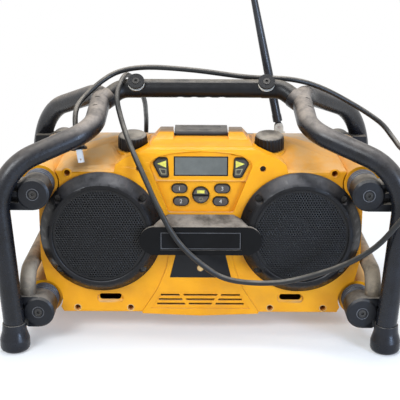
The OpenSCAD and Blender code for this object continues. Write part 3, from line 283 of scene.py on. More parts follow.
def surface(name, base, shade, rough=0.45, grain=(900, 0.15), blotch=25, dust=None, metallic=0.0,
            specular=0.5, coat=0.0, smear=None, clean=None, heavy=None):
    """Moulded plastic, rubber or metal: blotchy colour, fine grain, and dust that settles on top.

    Colours are r, g, b up to 255. grain is (scale, strength); blotch is the scale of the blotches, which
    on the lens are a painted mottled reflection.
    dust is (colour, amount, lowest and highest upward tilt), and on the isolators it is partly a painted
    bluish highlight; smear is (colour, amount, scale).
    clean is (half width, height), for outside_clean; heavy is (clear, full), for heavy_inside."""
    s = Shader(name)
    colour = s.mix(s.ramp(s.noise(blotch, 5), *BLOTCH_STEP), srgb(*base), srgb(*shade))
    roughness = s.ramp(s.noise(blotch * 5, 4), *GLOSS_STEP, rough - GLOSS_LESS, rough + GLOSS_MORE)
    if smear:
        tone, amount, scale = smear
        mask = s.times(s.ramp(s.noise(scale, 9, 0.7), *SMEAR_STEP), amount)
        colour = s.mix(mask, colour, srgb(*tone))
    if dust:
        tone, amount, lo, hi = dust
        lying = s.ramp(s.up(), lo, hi)
        patches = s.ramp(s.noise(PATCH_SCALE, 9, 0.68), *PATCH_STEP, PATCH_LEAST, 1.0)
        mask = s.times(s.times(lying, patches), amount)
        if clean:
            mask = outside_clean(s, mask, *clean)
            colour = brown_ears(s, colour)
        if heavy:
            mask = heavy_inside(s, mask, *heavy)
        colour = s.mix(mask, colour, srgb(*tone))
        roughness = s.math("ADD", roughness, s.times(mask, DUST_ROUGHNESS - rough))
    s.finish(Base_Color=colour, Roughness=roughness, Metallic=metallic, Specular_IOR_Level=specular,
             Coat_Weight=coat)
    s.bump(s.noise(grain[0], 3), grain[1], BUMP_DISTANCE)
    return s.mat


DUST = (176, 166, 152)
TAN = (208, 172, 126)
LOOKS = {
    "yellow_shell": dict(base=(228, 155, 17), shade=(217, 144, 13), rough=0.36, specular=0.26,
                         dust=(TAN, 0.85, 0.3, 0.85), smear=((190, 136, 60), 0.22, 14), clean=(0.1, 0.22)),
    "rear_shell": dict(base=(226, 160, 50), shade=(206, 142, 46), rough=0.5,
                       dust=(DUST, 0.9, 0.3, 0.85), smear=((150, 118, 74), 0.4, 14)),
    "black_plastic": dict(base=(20, 20, 22), shade=(13, 13, 15), rough=0.36, specular=0.25,
                          dust=(DUST, 0.75, 0.25, 0.9)),
    "grille_metal": dict(base=(15, 15, 17), shade=(10, 10, 12), rough=0.3, specular=0.34),
    "speaker_frame": dict(base=(16, 16, 17), shade=(12, 12, 13), rough=0.5, specular=0.2),
    "speaker_cone": dict(base=(10, 10, 11), shade=(7, 7, 8), rough=0.8, specular=0.2),
    "magnet": dict(base=(110, 110, 114), shade=(84, 84, 88), metallic=0.6),
    # The lens's grey is its own; its blotches from base to shade are a painted mottled reflection
    "lens": dict(base=(96, 98, 93), shade=(82, 85, 81), rough=0.16, grain=(400, 0.02), coat=0.3,
                 blotch=30),
    "display": dict(base=(40, 42, 40), shade=(30, 32, 30), rough=0.3),
    "grey_key": dict(base=(22, 20, 19), shade=(15, 14, 13), rough=0.4, specular=0.25),
    "seek_key": dict(base=(26, 24, 18), shade=(19, 17, 13), rough=0.4, specular=0.25),
    "circuit_board": dict(base=(20, 92, 54), shade=(16, 76, 46), rough=0.4),
    "transformer": dict(base=(130, 118, 100), shade=(96, 86, 72), rough=0.5),
    "steel": dict(base=(200, 200, 204), shade=(170, 170, 176), rough=0.3, metallic=1.0),
    "control_case": dict(base=(150, 150, 154), shade=(128, 128, 132), rough=0.4, metallic=0.8),
    "grey_knuckle": dict(base=(206, 202, 190), shade=(184, 180, 168), dust=(DUST, 0.5, 0.3, 0.9)),
    "antenna_black": dict(base=(40, 43, 48), shade=(28, 30, 35), rough=0.3),
    "cage_black": dict(base=(20, 22, 28), shade=(12, 13, 17), rough=0.28, specular=0.34, blotch=40,
                       dust=((160, 149, 138), 0.9, 0.15, 0.95), heavy=(0.17, 0.135)),
    "rail_black": dict(base=(72, 62, 50), shade=(44, 39, 33), rough=0.6, blotch=70,
                       dust=((172, 158, 138), 0.9, -0.3, 0.6), smear=((140, 124, 100), 0.75, 150)),
    "grip_black": dict(base=(14, 14, 16), shade=(9, 9, 11), rough=0.36, specular=0.25,
                       dust=(DUST, 0.42, 0.6, 1.0)),
    "foot_rubber": dict(base=(26, 28, 34), shade=(16, 17, 22), rough=0.3, specular=0.3,
                        dust=(DUST, 0.4, 0.3, 0.9)),
    # The isolators' light bluish grey, and the bluish grey laid on their upward faces, are partly the
    # rubber's own tone and dust and partly a painted bluish highlight
    "isolator_rubber": dict(base=(56, 59, 68), shade=(36, 38, 44), rough=0.33,
                            dust=((150, 152, 158), 0.6, 0.2, 0.9)),
    "bracket_black": dict(base=(24, 25, 29), shade=(16, 17, 20), rough=0.4, specular=0.28,
                          dust=(DUST, 0.6, 0.3, 0.95)),
    "screw": dict(base=(70, 68, 66), shade=(46, 45, 43), rough=0.4, metallic=0.7),
    "cord_black": dict(base=(30, 30, 29), shade=(20, 20, 20), rough=0.36, specular=0.35,
                       dust=(DUST, 0.55, 0.3, 1.0)),
    "blade_metal": dict(base=(246, 246, 244), shade=(236, 236, 233), rough=0.34, grain=(900, 0.03),
                        metallic=0.15),

    # Looks of single pieces, which are variants of the slot that the record gives them
    "ring_black": dict(base=(13, 13, 16), shade=(7, 7, 9), rough=0.31, specular=0.27,
                       dust=((152, 150, 152), 0.24, 0.35, 0.95)),
    "plate_black": dict(base=(9, 9, 10), shade=(6, 6, 7), rough=0.4, specular=0.14,
                        dust=((150, 142, 132), 0.85, 0.3, 0.8)),
    "post_black": dict(base=(20, 20, 22), shade=(13, 13, 14), rough=0.42, specular=0.25,
                       dust=(DUST, 0.35, 0.66, 1.0)),
    "latch_black": dict(base=(42, 42, 44), shade=(30, 30, 32), rough=0.4, dust=(DUST, 0.4, 0.3, 1.0)),
    "door_grey": dict(base=(84, 82, 78), shade=(62, 61, 58), rough=0.5, dust=(DUST, 0.6, 0.3, 0.9),
                      smear=((120, 108, 90), 0.5, 20)),
    "key_face": dict(base=(74, 66, 60), shade=(58, 52, 47), rough=0.5, smear=((120, 104, 84), 0.4, 90)),
    "seek_face": dict(base=(50, 46, 38), shade=(38, 35, 28), rough=0.5, smear=((96, 86, 62), 0.4, 90)),
    "print_light": dict(base=(206, 200, 188), shade=(176, 170, 158), rough=0.5, blotch=200),
    "print_lime": dict(base=(214, 206, 88), shade=(188, 178, 74), rough=0.5, blotch=200),
    "print_dim": dict(base=(140, 132, 104), shade=(112, 106, 82), rough=0.5, blotch=200),
    "pale_rim": dict(base=(216, 178, 116), shade=(198, 160, 100), rough=0.5, blotch=200),
    "frame_line": dict(base=(86, 86, 88), shade=(66, 66, 68), rough=0.4, blotch=60),
    # Black for the display's bezel, and painted shade for the recess round the display and for the hollows
    # of the sleeve slots
    "black_and_painted_shade": dict(base=(14, 12, 11), shade=(9, 8, 8), rough=0.8, specular=0.1),
}
MATERIALS = {name: surface(name, **look) for name, look in LOOKS.items()}


def coat(obj, slot):
    obj.data.materials.clear()
    obj.data.materials.append(MATERIALS[slot])


for part in SUBPARTS:
    coat(NODES[part["node"]], part["material_slot"])


# ---------------------------------------------------------------- tools for pieces

FACE_Y, FACE_Z, FACE_LEAN = -98, 27, 3      # foot of the front face, and its lean in degrees
FACE = placed(0, FACE_Y, FACE_Z) @ turned(90 - FACE_LEAN)
BEVEL_FROM = 32                             # degrees of a corner above which an edge is softened
DRESS_SMOOTH = 32                           # degrees above which a dressed node's edge stays sharp


def face_h(z):
    """Height up the leaning face of a world height, in millimetres."""
    return (z - FACE_Z) / math.cos(math.radians(FACE_LEAN))


def on_face(x, h, z=0.0):
    """A place on the front face: x, the height up it and how far out, in millimetres."""
    return FACE @ placed(x, h, z)


def mesh_piece(name, verts, faces, body, slot, place=None, smooth=30, cover=(), look=None):
    """A piece from points in millimetres, put in place, with its body and finish."""
    data = bpy.data.meshes.new(name)
    data.from_pydata([tuple(c * MM for c in v) for v in verts], [], faces)
    bm = bmesh.new()
    bm.from_mesh(data)
    bmesh.ops.remove_doubles(bm, verts=bm.verts, dist=1e-6)
    bmesh.ops.recalc_face_normals(bm, faces=bm.faces)
    bm.to_mesh(data)
    bm.free()
    if place is not None:
        data.transform(place)
    return settle(link(name, data), body, slot, smooth, cover, look=look)


def settle(obj, body, slot, smooth=30, cover=(), bevel=0.0, look=None):
    """Smooths a piece up to a corner in degrees, coats it and says what it rides on and stands for."""
    if bevel:
        mod = obj.modifiers.new("bevel", "BEVEL")
        mod.width = bevel * MM
        mod.segments = 2
        mod.limit_method = "ANGLE"
        mod.angle_limit = math.radians(BEVEL_FROM)
    obj.data.set_sharp_from_angle(angle=math.radians(smooth))
    for face in obj.data.polygons:
        face.use_smooth = True
    coat(obj, look or slot)
    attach(obj, body)
    if cover:
        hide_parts(*cover)
    return obj


def dress(node, bevel, flat=1.5, look=None):
    """A copy of a CAD node with its flat faces joined, its edges softened and its curves smooth."""
    data = NODES[node].data.copy()
    data.name = node + "_skin"
    bm = bmesh.new()
    bm.from_mesh(data)
    bmesh.ops.remove_doubles(bm, verts=bm.verts, dist=2e-6)
    bmesh.ops.dissolve_limit(bm, angle_limit=math.radians(flat), verts=bm.verts, edges=bm.edges)
    bm.to_mesh(data)
    bm.free()
    if data.has_custom_normals:
        data.normals_split_custom_set([(0, 0, 0)] * len(data.loops))
    slot = next(part["material_slot"] for part in SUBPARTS if part["node"] == node)
    skin = link(node + "_skin", data)
    return settle(skin, NODES[node]["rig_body"], slot, DRESS_SMOOTH, (node,), bevel, look)


def lathe(profile, segments, radius=None, closed=False):
    """Points and faces of a turned shape; radius(r, z, angle) may change r round the axis."""
    verts, faces = [], []
    for r, z in profile:
        for k in range(segments):
            a = 2 * math.pi * k / segments
            q = radius(r, z, a) if radius else r
            verts.append((q * math.cos(a), q * math.sin(a), z))
    rows = len(profile)
    for i in range(rows if closed else rows - 1):
        for k in range(segments):
            n, m = (k + 1) % segments, (i + 1) % rows
            faces.append((i * segments + k, i * segments + n, m * segments + n, m * segments + k))
    if not closed:
        faces.append(tuple(range(segments)))
        faces.append(tuple((rows - 1) * segments + k for k in range(segments)))
    return verts, faces


def turned_rings(name, profile, segments, places, slot, look, place=None):
    """One piece made of equal closed rings, each put in its own place in millimetres."""
    points, loops = lathe(profile, segments, closed=True)
    verts, faces = [], []
    for ring in places:
        base = len(verts)
        verts += [ring @ Vector(q) for q in points]
        faces += [tuple(base + k for k in loop) for loop in loops]
    mesh_piece(name, verts, faces, "radio", slot, place, smooth=50, look=look)


def bent_path(corners, radii, step=4.0):
    """Points in millimetres along a bar bent at its corners; step is in degrees of bend."""
    p = [Vector(c) for c in corners]
    out = [p[0]]
    for i in range(1, len(p) - 1):
        u, v = (p[i] - p[i - 1]).normalized(), (p[i + 1] - p[i]).normalized()
        turn = u.angle(v)
        m = (v - u * u.dot(v)).normalized()
        centre = p[i] - u * radii[i] * math.tan(turn / 2) + m * radii[i]
        count = max(4, round(math.degrees(turn) / step))
        for k in range(count + 1):
            a = turn * k / count
            out.append(centre + radii[i] * (u * math.sin(a) - m * math.cos(a)))
    return out + [p[-1]]


def finer(path, longest):
    """The same path with its long lengths cut up."""
    out = [path[0]]
    for a, b in zip(path, path[1:]):
        n = max(1, math.ceil((b - a).length / longest))
        out += [a.lerp(b, k / n) for k in range(1, n + 1)]
    return out


def flip(points, side):
    """Points of the right half, mirrored where side is -1."""
    return [Vector((side * p[0], p[1], p[2])) for p in points]


def plate(name, outlines, thick, body, slot, place, look):
    """A flat piece from closed outlines in millimetres; an outline inside another is a hole."""
    data = bpy.data.curves.new(name, "CURVE")
    data.dimensions = "2D"
    data.fill_mode = "BOTH"
    data.extrude = thick / 2
    for line in outlines:
        spline = data.splines.new("POLY")
        spline.points.add(len(line) - 1)
        spline.use_cyclic_u = True
        for point, q in zip(spline.points, line):
            point.co = (q[0], q[1], 0, 1)
    return solid_from(name, data, body, slot, place, look)


def numeral(name, text, size, thick, body, slot, place, look):
    data = bpy.data.curves.new(name, "FONT")
    data.body = text
    data.size = size
    data.align_x = data.align_y = "CENTER"
    data.extrude = thick / 2
    return solid_from(name, data, body, slot, place, look)


def solid_from(name, curve, body, slot, place, look):
    """Turns a curve or text in millimetres into a mesh piece."""
    temp = link(name + "_curve", curve)
    bpy.context.view_layer.update()
    mesh = bpy.data.meshes.new_from_object(temp.evaluated_get(bpy.context.evaluated_depsgraph_get()))
    bpy.data.objects.remove(temp)
    mesh.name = name
    mesh.transform(place @ Matrix.Scale(MM, 4))
    return settle(link(name, mesh), body, slot, look=look)


def stadium(w, h, count=12):
    """Outline of an oblong with round ends."""
    out = []
    for side in (1, -1):
        for k in range(count + 1):
            a = math.pi * (k / count - 0.5)
            out.append((side * ((w - h) / 2 + h / 2 * math.cos(a)), side * h / 2 * math.sin(a)))
    return out


def moved(outline, x, y):
    return [(p[0] + x, p[1] + y) for p in outline]


def box_outline(w, h):
    return [(-w / 2, -h / 2), (w / 2, -h / 2), (w / 2, h / 2), (-w / 2, h / 2)]


def half_ring(r, sign, gap, count=24):
    """Outline of a half disc above or below its middle, set back from the split by gap."""
    start = math.asin(gap / r)
    turns = [start + (math.pi - 2 * start) * k / count for k in range(count + 1)]
    return [(r * math.cos(a), sign * r * math.sin(a)) for a in turns]


def arc_band(r, width, first, last, count=24):
    """Closed outline of part of a ring, angles in degrees."""
    turns = [math.radians(first + (last - first) * k / count) for k in range(count + 1)]
    return ([((r + width / 2) * math.cos(a), (r + width / 2) * math.sin(a)) for a in turns]
            + [((r - width / 2) * math.cos(a), (r - width / 2) * math.sin(a)) for a in reversed(turns)])


# ---------------------------------------------------------------- grilles

SPEAKER_X, SPEAKER_H = 125.5, 108
HOLE_PITCH, HOLE_R = 3.3, 1.12
HOLES_R = 58.2                              # no hole's middle lies further out than this
GRILLE_TOP, GRILLE_R, GRILLE_DOME = 19.4, 61.5, 1.3
SHEET_THICK = 0.8
GRILLE_RIM = [(56.5, 18.5), (57.5, 18.7), (61.4, 18.3), (61.4, 3), (60.2, 3), (60.2, 17.4), (56.5, 17.6)]


def grille(side, word):
    """Perforated sheet: six-sided holes on a hexagonal pitch, domed, with a plain rim and a skirt."""
    cell_r, row = HOLE_PITCH / math.sqrt(3), HOLE_PITCH * math.sqrt(3) / 2
    rows = int(HOLES_R / row) + 1
    verts, faces = [], []
    for j in range(-rows, rows + 1):
        for i in range(-rows, rows + 1):
            cx, cy = (i + (j % 2) * 0.5) * HOLE_PITCH, j * row
            if math.hypot(cx, cy) > HOLES_R:
                continue
            base = len(verts)
            for k in range(6):
                a = math.radians(30 + 60 * k)
                for r in (cell_r, HOLE_R):
                    verts.append((cx + r * math.cos(a), cy + r * math.sin(a)))
            for k in range(6):
                n = (k + 1) % 6
                faces.append((base + 2 * k, base + 2 * n, base + 2 * n + 1, base + 2 * k + 1))
    verts = [(x, y, GRILLE_TOP - GRILLE_DOME * (x * x + y * y) / GRILLE_R ** 2) for x, y in verts]
    place = on_face(side * SPEAKER_X, SPEAKER_H)
    sheet = mesh_piece("perforated_sheet_" + word, verts, faces, "radio", "grille_metal", place,
                       cover=("grille_" + word,))
    solid = sheet.modifiers.new("thickness", "SOLIDIFY")
    solid.thickness = SHEET_THICK * MM
    solid.offset = -1
    verts, faces = lathe(GRILLE_RIM, segments=96, closed=True)
    mesh_piece("grille_rim_" + word, verts, faces, "radio", "grille_metal", place, smooth=50)


for sign, word in SIDES:
    grille(sign, word)


# ---------------------------------------------------------------- mains lead's finish

settle(cord, "radio", "cord_black", 60, ("power_cord",))
dress("plug_body", 0.5)


# ---------------------------------------------------------------- knobs

KNOB_X, KNOB_Y, KNOB_Z, KNOB_LEAN = 87.5, -45, 233.5, 10
KNOB_RIBS, RIB_POINTS = 24, 8               # ribs, and points round each one
RIB_DEPTH, RIB_Z = 0.85, (1.0, 16.6)
RIB_WAVE = 1.8                              # above 1, so that ribs and grooves have flat tops and floors
KNOB_PROFILE = [(17.6, 0.7), (18.8, 1.1), (19.0, 2.2), (18.9, 8), (18.6, 13), (18.2, 15.6), (17.6, 16.8),
                (16.6, 17.8), (15.2, 18.35), (13.4, 18.45), (12.9, 18.2), (12.2, 17.9), (6, 17.75),
                (0.4, 17.7)]


def knob(side, name, body):
    """Ribbed knob with a soft shoulder and a shallow dish in its top."""
    def ribbed(r, z, a):
        if not RIB_Z[0] < z < RIB_Z[1]:
            return r
        wave = max(-1, min(1, RIB_WAVE * math.cos(KNOB_RIBS * a)))
        return r - RIB_DEPTH * (0.5 - 0.5 * wave)

    place = placed(side * KNOB_X, KNOB_Y, KNOB_Z) @ turned(KNOB_LEAN)
    verts, faces = lathe(KNOB_PROFILE, KNOB_RIBS * RIB_POINTS, ribbed)
    mesh_piece(name + "_ribbed", verts, faces, body, "black_plastic", place, smooth=48, cover=(name,))


knob(-1, "volume_knob", "volume_control")
knob(1, "tuning_knob", "tuning_control")


# ---------------------------------------------------------------- CAD pieces with softened edges

for bevel, other, nodes in (
        (0.8, {}, ("front_housing", "rear_housing")),
        (0.8, {"look": "door_grey"}, ("battery_door",)),
        (0.8, {"look": "plate_black"}, ("nameplate",)),
        (0.35, {"flat": 0.0}, ("vent_panel",)),
        (0.9, {}, ("front_brackets", "rear_brackets", "feet", "isolators")),
        (0.9, {"look": "latch_black"}, ("top_latch",)),
        (0.5, {"look": "ring_black"}, ("speaker_ring_left", "speaker_ring_right")),
        (0.5, {"look": "post_black"}, ("cord_posts",)),
        (0.5, {}, ("strain_relief", "label_plate", "seek_key_left", "seek_key_right", "mode_key",
                   "power_key", "preset_key_1", "preset_key_2", "preset_key_3", "preset_key_4"))):
    for node in nodes:
        dress(node, bevel, **other)


# ---------------------------------------------------------------- keys' faces and marks

FACE_THICK, PRINT_THICK, NUMERAL_THICK = 0.5, 0.1, 0.08
NUMERAL_LIFT, MARK_LIFT = 0.29, 0.28        # above the middle of the face plate
PRESET_TOP, ROUND_TOP, SEEK_TOP = -4.2, -3.4, -1.4     # cap tops, from the face, in millimetres
PRESETS = [(-27, 190), (-25, 173.5), (27, 190), (25, 173.5)]
PRESET_FACE, NUMERAL_SIZE = (17.4, 9.4), 7.2
ROUND_Z, ROUND_R, ROUND_GAP = 181.7, 9.3, 1.5
MODE_BAR, MODE_BAR_Y = (9.4, 3.8), 4.6
POWER_R, POWER_LINE, POWER_Y = 2.3, 0.7, -5
POWER_OPEN = 35                             # half of the power ring's opening, in degrees
POWER_STEM, POWER_STEM_Y = 2.6, -3.3
# Outlines on the right seek key, as x and world height
SEEK_FACE = [(42.2, 228.2), (53.6, 227.8), (56.6, 225.8), (57.9, 222.8), (56.7, 219.6), (50.4, 207.8),
             (48.6, 206.8), (42.6, 206.8), (41.6, 208)]
SEEK_ARROW = [(43.4, 226.6), (54.6, 222.6), (43.4, 217.6)]
SEEK_ICON = [(43.2, 215.8), (52.6, 216.6), (49.3, 209), (43.2, 209)]
SEEK_ICON_HOLE = [(44.3, 214.6), (50.9, 215.3), (48.5, 210.1), (44.3, 210.1)]


def preset(number, x, z):
    name, h = str(number), face_h(z)
    cap = "preset_key_" + name + "_cap"
    plate("preset_face_" + name, [stadium(*PRESET_FACE)], FACE_THICK, cap, "grey_key",
          on_face(x, h, PRESET_TOP), "key_face")
    numeral("preset_number_" + name, name, NUMERAL_SIZE, NUMERAL_THICK, cap, "grey_key",
            on_face(x, h, PRESET_TOP + NUMERAL_LIFT), "print_light")


def round_key():
    """Faces of the split round key, with a bar on the upper half and a power symbol on the lower."""
    h = face_h(ROUND_Z)
    for sign, key in ((1, "mode_key"), (-1, "power_key")):
        plate(key + "_face", [half_ring(ROUND_R, sign, ROUND_GAP)], FACE_THICK, key + "_cap", "grey_key",
              on_face(0, h, ROUND_TOP), "key_face")
    place = on_face(0, h, ROUND_TOP + MARK_LIFT)
    plate("mode_mark", [moved(box_outline(*MODE_BAR), 0, MODE_BAR_Y)], PRINT_THICK, "mode_key_cap",
          "grey_key", place, "print_lime")
    ring = arc_band(POWER_R, POWER_LINE, 90 + POWER_OPEN, 450 - POWER_OPEN)
    stem = box_outline(POWER_LINE, POWER_STEM)
    plate("power_mark", [moved(ring, 0, POWER_Y), moved(stem, 0, POWER_STEM_Y)], PRINT_THICK,
          "power_key_cap", "grey_key", place, "print_dim")


def seek_print(side, word, name, outlines, thick, lift, look):
    """A flat piece on a seek key, from outlines of the right key."""
    own = [[(side * x, face_h(z)) for x, z in line][::side] for line in outlines]
    plate(name + "_" + word, own, thick, "seek_key_" + word + "_cap", "seek_key",
          on_face(0, 0, SEEK_TOP + lift), look)


for number, (x, z) in enumerate(PRESETS, 1):
    preset(number, x, z)
round_key()
for sign, word in SIDES:
    seek_print(sign, word, "seek_face", [SEEK_FACE], FACE_THICK, 0, "seek_face")
    seek_print(sign, word, "seek_arrow", [SEEK_ARROW], PRINT_THICK, MARK_LIFT, "print_lime")
    seek_print(sign, word, "seek_icon", [SEEK_ICON, SEEK_ICON_HOLE], PRINT_THICK, MARK_LIFT, "print_dim")


# ---------------------------------------------------------------- borders

# Outer and inner width and height, thickness, world height, and distance out from the face
LENS_BORDER = ((67.6, 24.6), (65.2, 22.4)), 0.3, 219, -3.95
NAMEPLATE_BORDER = ((99, 21), (97.6, 19.6)), 0.5, 131, 27.5


def border(name, sizes, thick, z, out, slot, look):
    """A thin flat frame in the middle of the front face."""
    plate(name, [box_outline(w, h) for w, h in sizes], thick, "radio", slot,
          on_face(0, face_h(z), out), look)


# The display's border is partly its black bezel and partly painted shade of the recess round the display
border("lens_border", *LENS_BORDER, "display", "black_and_painted_shade")
border("nameplate_border", *NAMEPLATE_BORDER, "black_plastic", "frame_line")


# ---------------------------------------------------------------- cage, rails and grip
# Corners of the right half; flip mirrors them.

SLEEVE = [(132, -100, 269), (129, 5, 297)]  # the upper length of tube, which has the sleeve
CAGE = [(228.7, -151.5, 10), (244, -151.5, 228), *SLEEVE, (244, 151.5, 237), (228.7, 151.5, 10)]
CAGE_BENDS = [0, 66, 46, 75, 112, 0]
TUBE_R = 12.98
RAIL = [(216, -127, 65), (216, -127, 92), (216, 127, 92), (216, 127, 65)]
RAIL_BENDS = [0, 22, 22, 0]
RAIL_R = 10.0
GRIP_R = 12.25
STUB = [(129, -26, 287.5), (117.4, -17.65, 294.7)]
STUB_R, STUB_END_R, STUB_CHAMFER = GRIP_R + 1, GRIP_R + 0.3, 0.8
GRIP_CORNER = (104, -8, 303)
GRIP_BENDS = [0, 24, 24, 0]
COVER_ANGLE, COVER_HALF, COVER_STEP = 38, 78, 0.55     # half width in degrees, half length, height
SCALLOPS = [(i - 1.5) * 18 for i in range(4)]
SCALLOP_R, SCALLOP_HALF, SCALLOP_DROP = 9.5, 6.2, 7.2


def cage(side, word):
    """One side tube of the cage, with the moulded sleeve that carries the grip."""
    path = bent_path(flip(CAGE, side), CAGE_BENDS)
    mesh_piece("side_tube_" + word, *sweep(path, TUBE_R, sides=48), "radio", "cage_black", smooth=50,
               cover=("cage_" + word,))
    a, b = flip(STUB, side)
    way, length = (b - a).normalized(), (b - a).length

    def radius(p, q):
        return STUB_R if (p - b).length > STUB_CHAMFER / 2 else STUB_END_R

    path = [a, a + way * (length - STUB_CHAMFER), b]
    mesh_piece("grip_sleeve_" + word, *sweep(path, radius, sides=48), "radio", "cage_black", smooth=50)


def rail(side, word):
    """One lower side rail."""
    path = bent_path(flip(RAIL, side), RAIL_BENDS)
    verts, faces = sweep(path, RAIL_R, sides=40, start=Vector((1, 0, 0)))
    mesh_piece("rail_tube_" + word, verts, faces, "radio", "rail_black", smooth=50,
               cover=("rail_" + word,))


def grip():
    """Grip with a raised cover along its top and finger scallops below."""
    left, right = flip([STUB[1], GRIP_CORNER], -1), flip([GRIP_CORNER, STUB[1]], 1)
    path = finer(bent_path(left + right, GRIP_BENDS, step=3.0), longest=1.2)

    def radius(p, q):
        lower = abs(math.degrees((q + math.pi) % (2 * math.pi) - math.pi)) > COVER_ANGLE
        return GRIP_R - (COVER_STEP if lower and abs(p.x) < COVER_HALF else 0.0)

    verts, faces = sweep(path, radius, sides=80)
    middle = GRIP_CORNER[2]
    for v in verts:
        for x in SCALLOPS:
            if abs(v.x - x) < SCALLOP_HALF and v.z < middle:
                arch = math.sqrt(SCALLOP_R ** 2 - (v.x - x) ** 2)
                v.z = max(v.z, middle - GRIP_R - SCALLOP_DROP + arch)
    mesh_piece("grip_moulding", verts, faces, "radio", "grip_black", smooth=40, cover=("handle",))


for sign, word in SIDES:
    cage(sign, word)
    rail(sign, word)
grip()


# ---------------------------------------------------------------- slots in the sleeves

SLOT_YS = (-37, -60)
SLOT_TILT = {"left": 8, "right": 24}        # degrees outward from the top of the tube
SLOT_TURN, SLOT_HALF = 0.46, 0.8            # its length in radians round the tube, its half width
SLOT_SUNK, SLOT_PROUD = 0.6, 0.08


def sleeve_slot(side, y, tilt, name):
    """A short strip across the top of the cage tube where a slot is; its dark colour is painted shade for
    the slot's hollow.
    """
    a, b = flip(SLEEVE, side)
    way = (b - a).normalized()
    middle = a.lerp(b, (y - a.y) / (b.y - a.y))
    up = (Vector((0, 0, 1)) - way * way.z).normalized()
    out = way.cross(up) * side
    inner, outer = TUBE_R - SLOT_SUNK, TUBE_R + SLOT_PROUD
    verts, faces, n = [], [], 8
    for k in range(n + 1):
        turn = math.radians(tilt) + SLOT_TURN * (k / n - 0.5)
        ray = up * math.cos(turn) + out * math.sin(turn)
        for r, w in ((inner, -SLOT_HALF), (outer, -SLOT_HALF), (outer, SLOT_HALF), (inner, SLOT_HALF)):
            verts.append(middle + ray * r + way * w)
    for k in range(n):
        for m in range(4):
            q = (m + 1) % 4
            faces.append((4 * k + m, 4 * k + q, 4 * k + 4 + q, 4 * k + 4 + m))
    faces += [(0, 1, 2, 3), tuple(4 * n + m for m in range(4))]
    mesh_piece(name, verts, faces, "radio", "cage_black", look="black_and_painted_shade")


for sign, word in SIDES:
    for number, y in enumerate(SLOT_YS, 1):
        sleeve_slot(sign, y, SLOT_TILT[word], "sleeve_slot_%s_%d" % (word, number))


# ---------------------------------------------------------------- rims, collars and flanges

SCREW_X, SCREW_Y, SCREW_ZS = 202, 142, (45, 198)
SCREW_RIM = [(6.7, -0.4), (7.5, -0.4), (7.5, 0.35), (6.7, 0.35)]
turned_rings("screw_rims", SCREW_RIM, 40,
             [Matrix.Translation((sx * SCREW_X, sy * SCREW_Y, z)) @ turned(sy * -90)
              for sx in (-1, 1) for sy in (-1, 1) for z in SCREW_ZS],
             "bracket_black", "frame_line")

# Collars of the two upper case screws, which stand out of the sloping top
BOSS_X, BOSS_Z = 167.5, 210.5
BOSS = [(4.0, 0.12), (6.0, 0.12), (6.5, -0.4), (6.5, -34), (4.0, -34)]
for sign, word in SIDES:
    mesh_piece("screw_boss_" + word, *lathe(BOSS, segments=40, closed=True), "radio", "yellow_shell",
               on_face(sign * BOSS_X, face_h(BOSS_Z)), smooth=50)

# Pale rims of the four lower case screw holes, and the pale floor of the hole in the label plate
CASE_HOLE_XS, CASE_HOLE_Z = (-158.5, -90, 90, 158.5), 33
CASE_HOLE_RIM = [(3.9, -0.3), (4.7, -0.3), (4.7, 0.12), (3.9, 0.12)]
turned_rings("case_hole_rims", CASE_HOLE_RIM, 32,
             [Matrix.Translation((x, face_h(CASE_HOLE_Z), 0)) for x in CASE_HOLE_XS],
             "yellow_shell", "pale_rim", on_face(0, 0))
LABEL_HOLE_Z, LABEL_HOLE, LABEL_FLOOR_OUT = 87, 8, 0.35
plate("label_hole_floor", [stadium(LABEL_HOLE, LABEL_HOLE)], 0.4, "radio", "yellow_shell",
      on_face(0, face_h(LABEL_HOLE_Z), LABEL_FLOOR_OUT), "pale_rim")

# Light flanges behind the heads of the cord posts
POST_X, POST_Y, POST_Z, POST_LEAN = 84, -8, 303, 50
FLANGE = [(6.4, 10.2), (9.4, 10.6), (10.6, 11.6), (10.4, 12.6), (6.4, 12.8)]
for sign, word in SIDES:
    mesh_piece("post_flange_" + word, *lathe(FLANGE, segments=48, closed=True), "radio", "grey_knuckle",
               placed(sign * POST_X, POST_Y, POST_Z) @ turned(POST_LEAN), smooth=60)


# ---------------------------------------------------------------- room and light

FLOOR_HALF, FLOOR_Z = 12, -0.0002
FLOOR_COLOUR = (0.87, 0.895, 0.915, 1)
WHITE = (1, 1, 1, 1)
GLOW_STEP, GLOW_LEAST = (0.3, 0.75), 0.28   # metres from the radio, where the floor's shadow fades out
WORLD_LIGHT, WORLD_SEEN = 0.25, 1.0
LIGHTS = {                                  # place, target, size, power and tint
    "key": ((-0.9, -1.5, 1.5), (0, 0, 0.15), (0.9, 0.8), 31, (0.9, 0.95, 1.0)),
    "fill": ((1.3, -1.2, 1.0), (0, 0, 0.15), (0.8, 0.8), 3, (1.0, 0.98, 0.95)),
    "top": ((0.1, 0.2, 1.9), (0, 0, 0.1), (1.4, 1.1), 32, (1, 1, 1)),
    "side": ((0.9, -1.05, 0.38), (-0.15, 0, 0.2), (0.3, 0.7), 13, (0.5, 0.68, 1.0)),
}


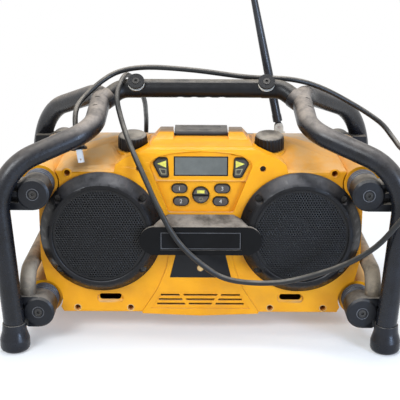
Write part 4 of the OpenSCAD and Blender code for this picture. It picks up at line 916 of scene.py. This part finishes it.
def area_light(name, place, target, size, power, tint):
    data = bpy.data.lights.new(name, "AREA")
    data.shape = "RECTANGLE"
    data.size, data.size_y = size
    data.energy = power
    data.color = tint
    obj = link(name, data)
    obj.location = place
    obj.rotation_euler = (Vector(target) - Vector(place)).to_track_quat("-Z", "Y").to_euler()


def seen(tree):
    """1 where the camera looks, also by reflection or through something clear, and 0 for light."""
    path = tree.nodes.new("ShaderNodeLightPath")
    answer = path.outputs["Is Camera Ray"]
    for ray in ("Is Glossy Ray", "Is Transmission Ray"):
        either = tree.nodes.new("ShaderNodeMath")
        either.operation = "MAXIMUM"
        tree.links.new(answer, either.inputs[0])
        tree.links.new(path.outputs[ray], either.inputs[1])
        answer = either.outputs[0]
    return answer


def floor():
    """White floor that catches the shadow near the radio and glows plain white further away."""
    data = bpy.data.meshes.new("floor")
    bm = bmesh.new()
    bmesh.ops.create_grid(bm, x_segments=2, y_segments=2, size=FLOOR_HALF)
    bm.to_mesh(data)
    bm.free()
    obj = link("floor", data)
    obj.location.z = FLOOR_Z
    s = Shader("floor_white")
    s.finish(Base_Color=FLOOR_COLOUR, Roughness=0.6, Specular_IOR_Level=0.2)
    glow = s.node("Emission", WHITE, 1.0)
    away = s.node("VectorMath", s.coord.outputs["Object"], operation="LENGTH").outputs["Value"]
    share = s.times(seen(s.mat.node_tree), s.ramp(away, *GLOW_STEP, GLOW_LEAST, 1.0))
    blend = s.node("MixShader", share, s.bsdf.outputs[0], glow.outputs[0])
    s.put(s.nodes["Material Output"].inputs["Surface"], blend.outputs[0])
    data.materials.append(s.mat)


def world():
    """White backdrop that gives less light than it shows."""
    air = bpy.data.worlds.new("world")
    air.use_nodes = True
    bpy.context.scene.world = air
    tree = air.node_tree
    back = tree.nodes["Background"]
    back.inputs["Color"].default_value = WHITE
    level = tree.nodes.new("ShaderNodeMapRange")
    tree.links.new(seen(tree), level.inputs["Value"])
    level.inputs["To Min"].default_value = WORLD_LIGHT
    level.inputs["To Max"].default_value = WORLD_SEEN
    tree.links.new(level.outputs[0], back.inputs["Strength"])


floor()
world()
for name, settings in LIGHTS.items():
    area_light(name, *settings)
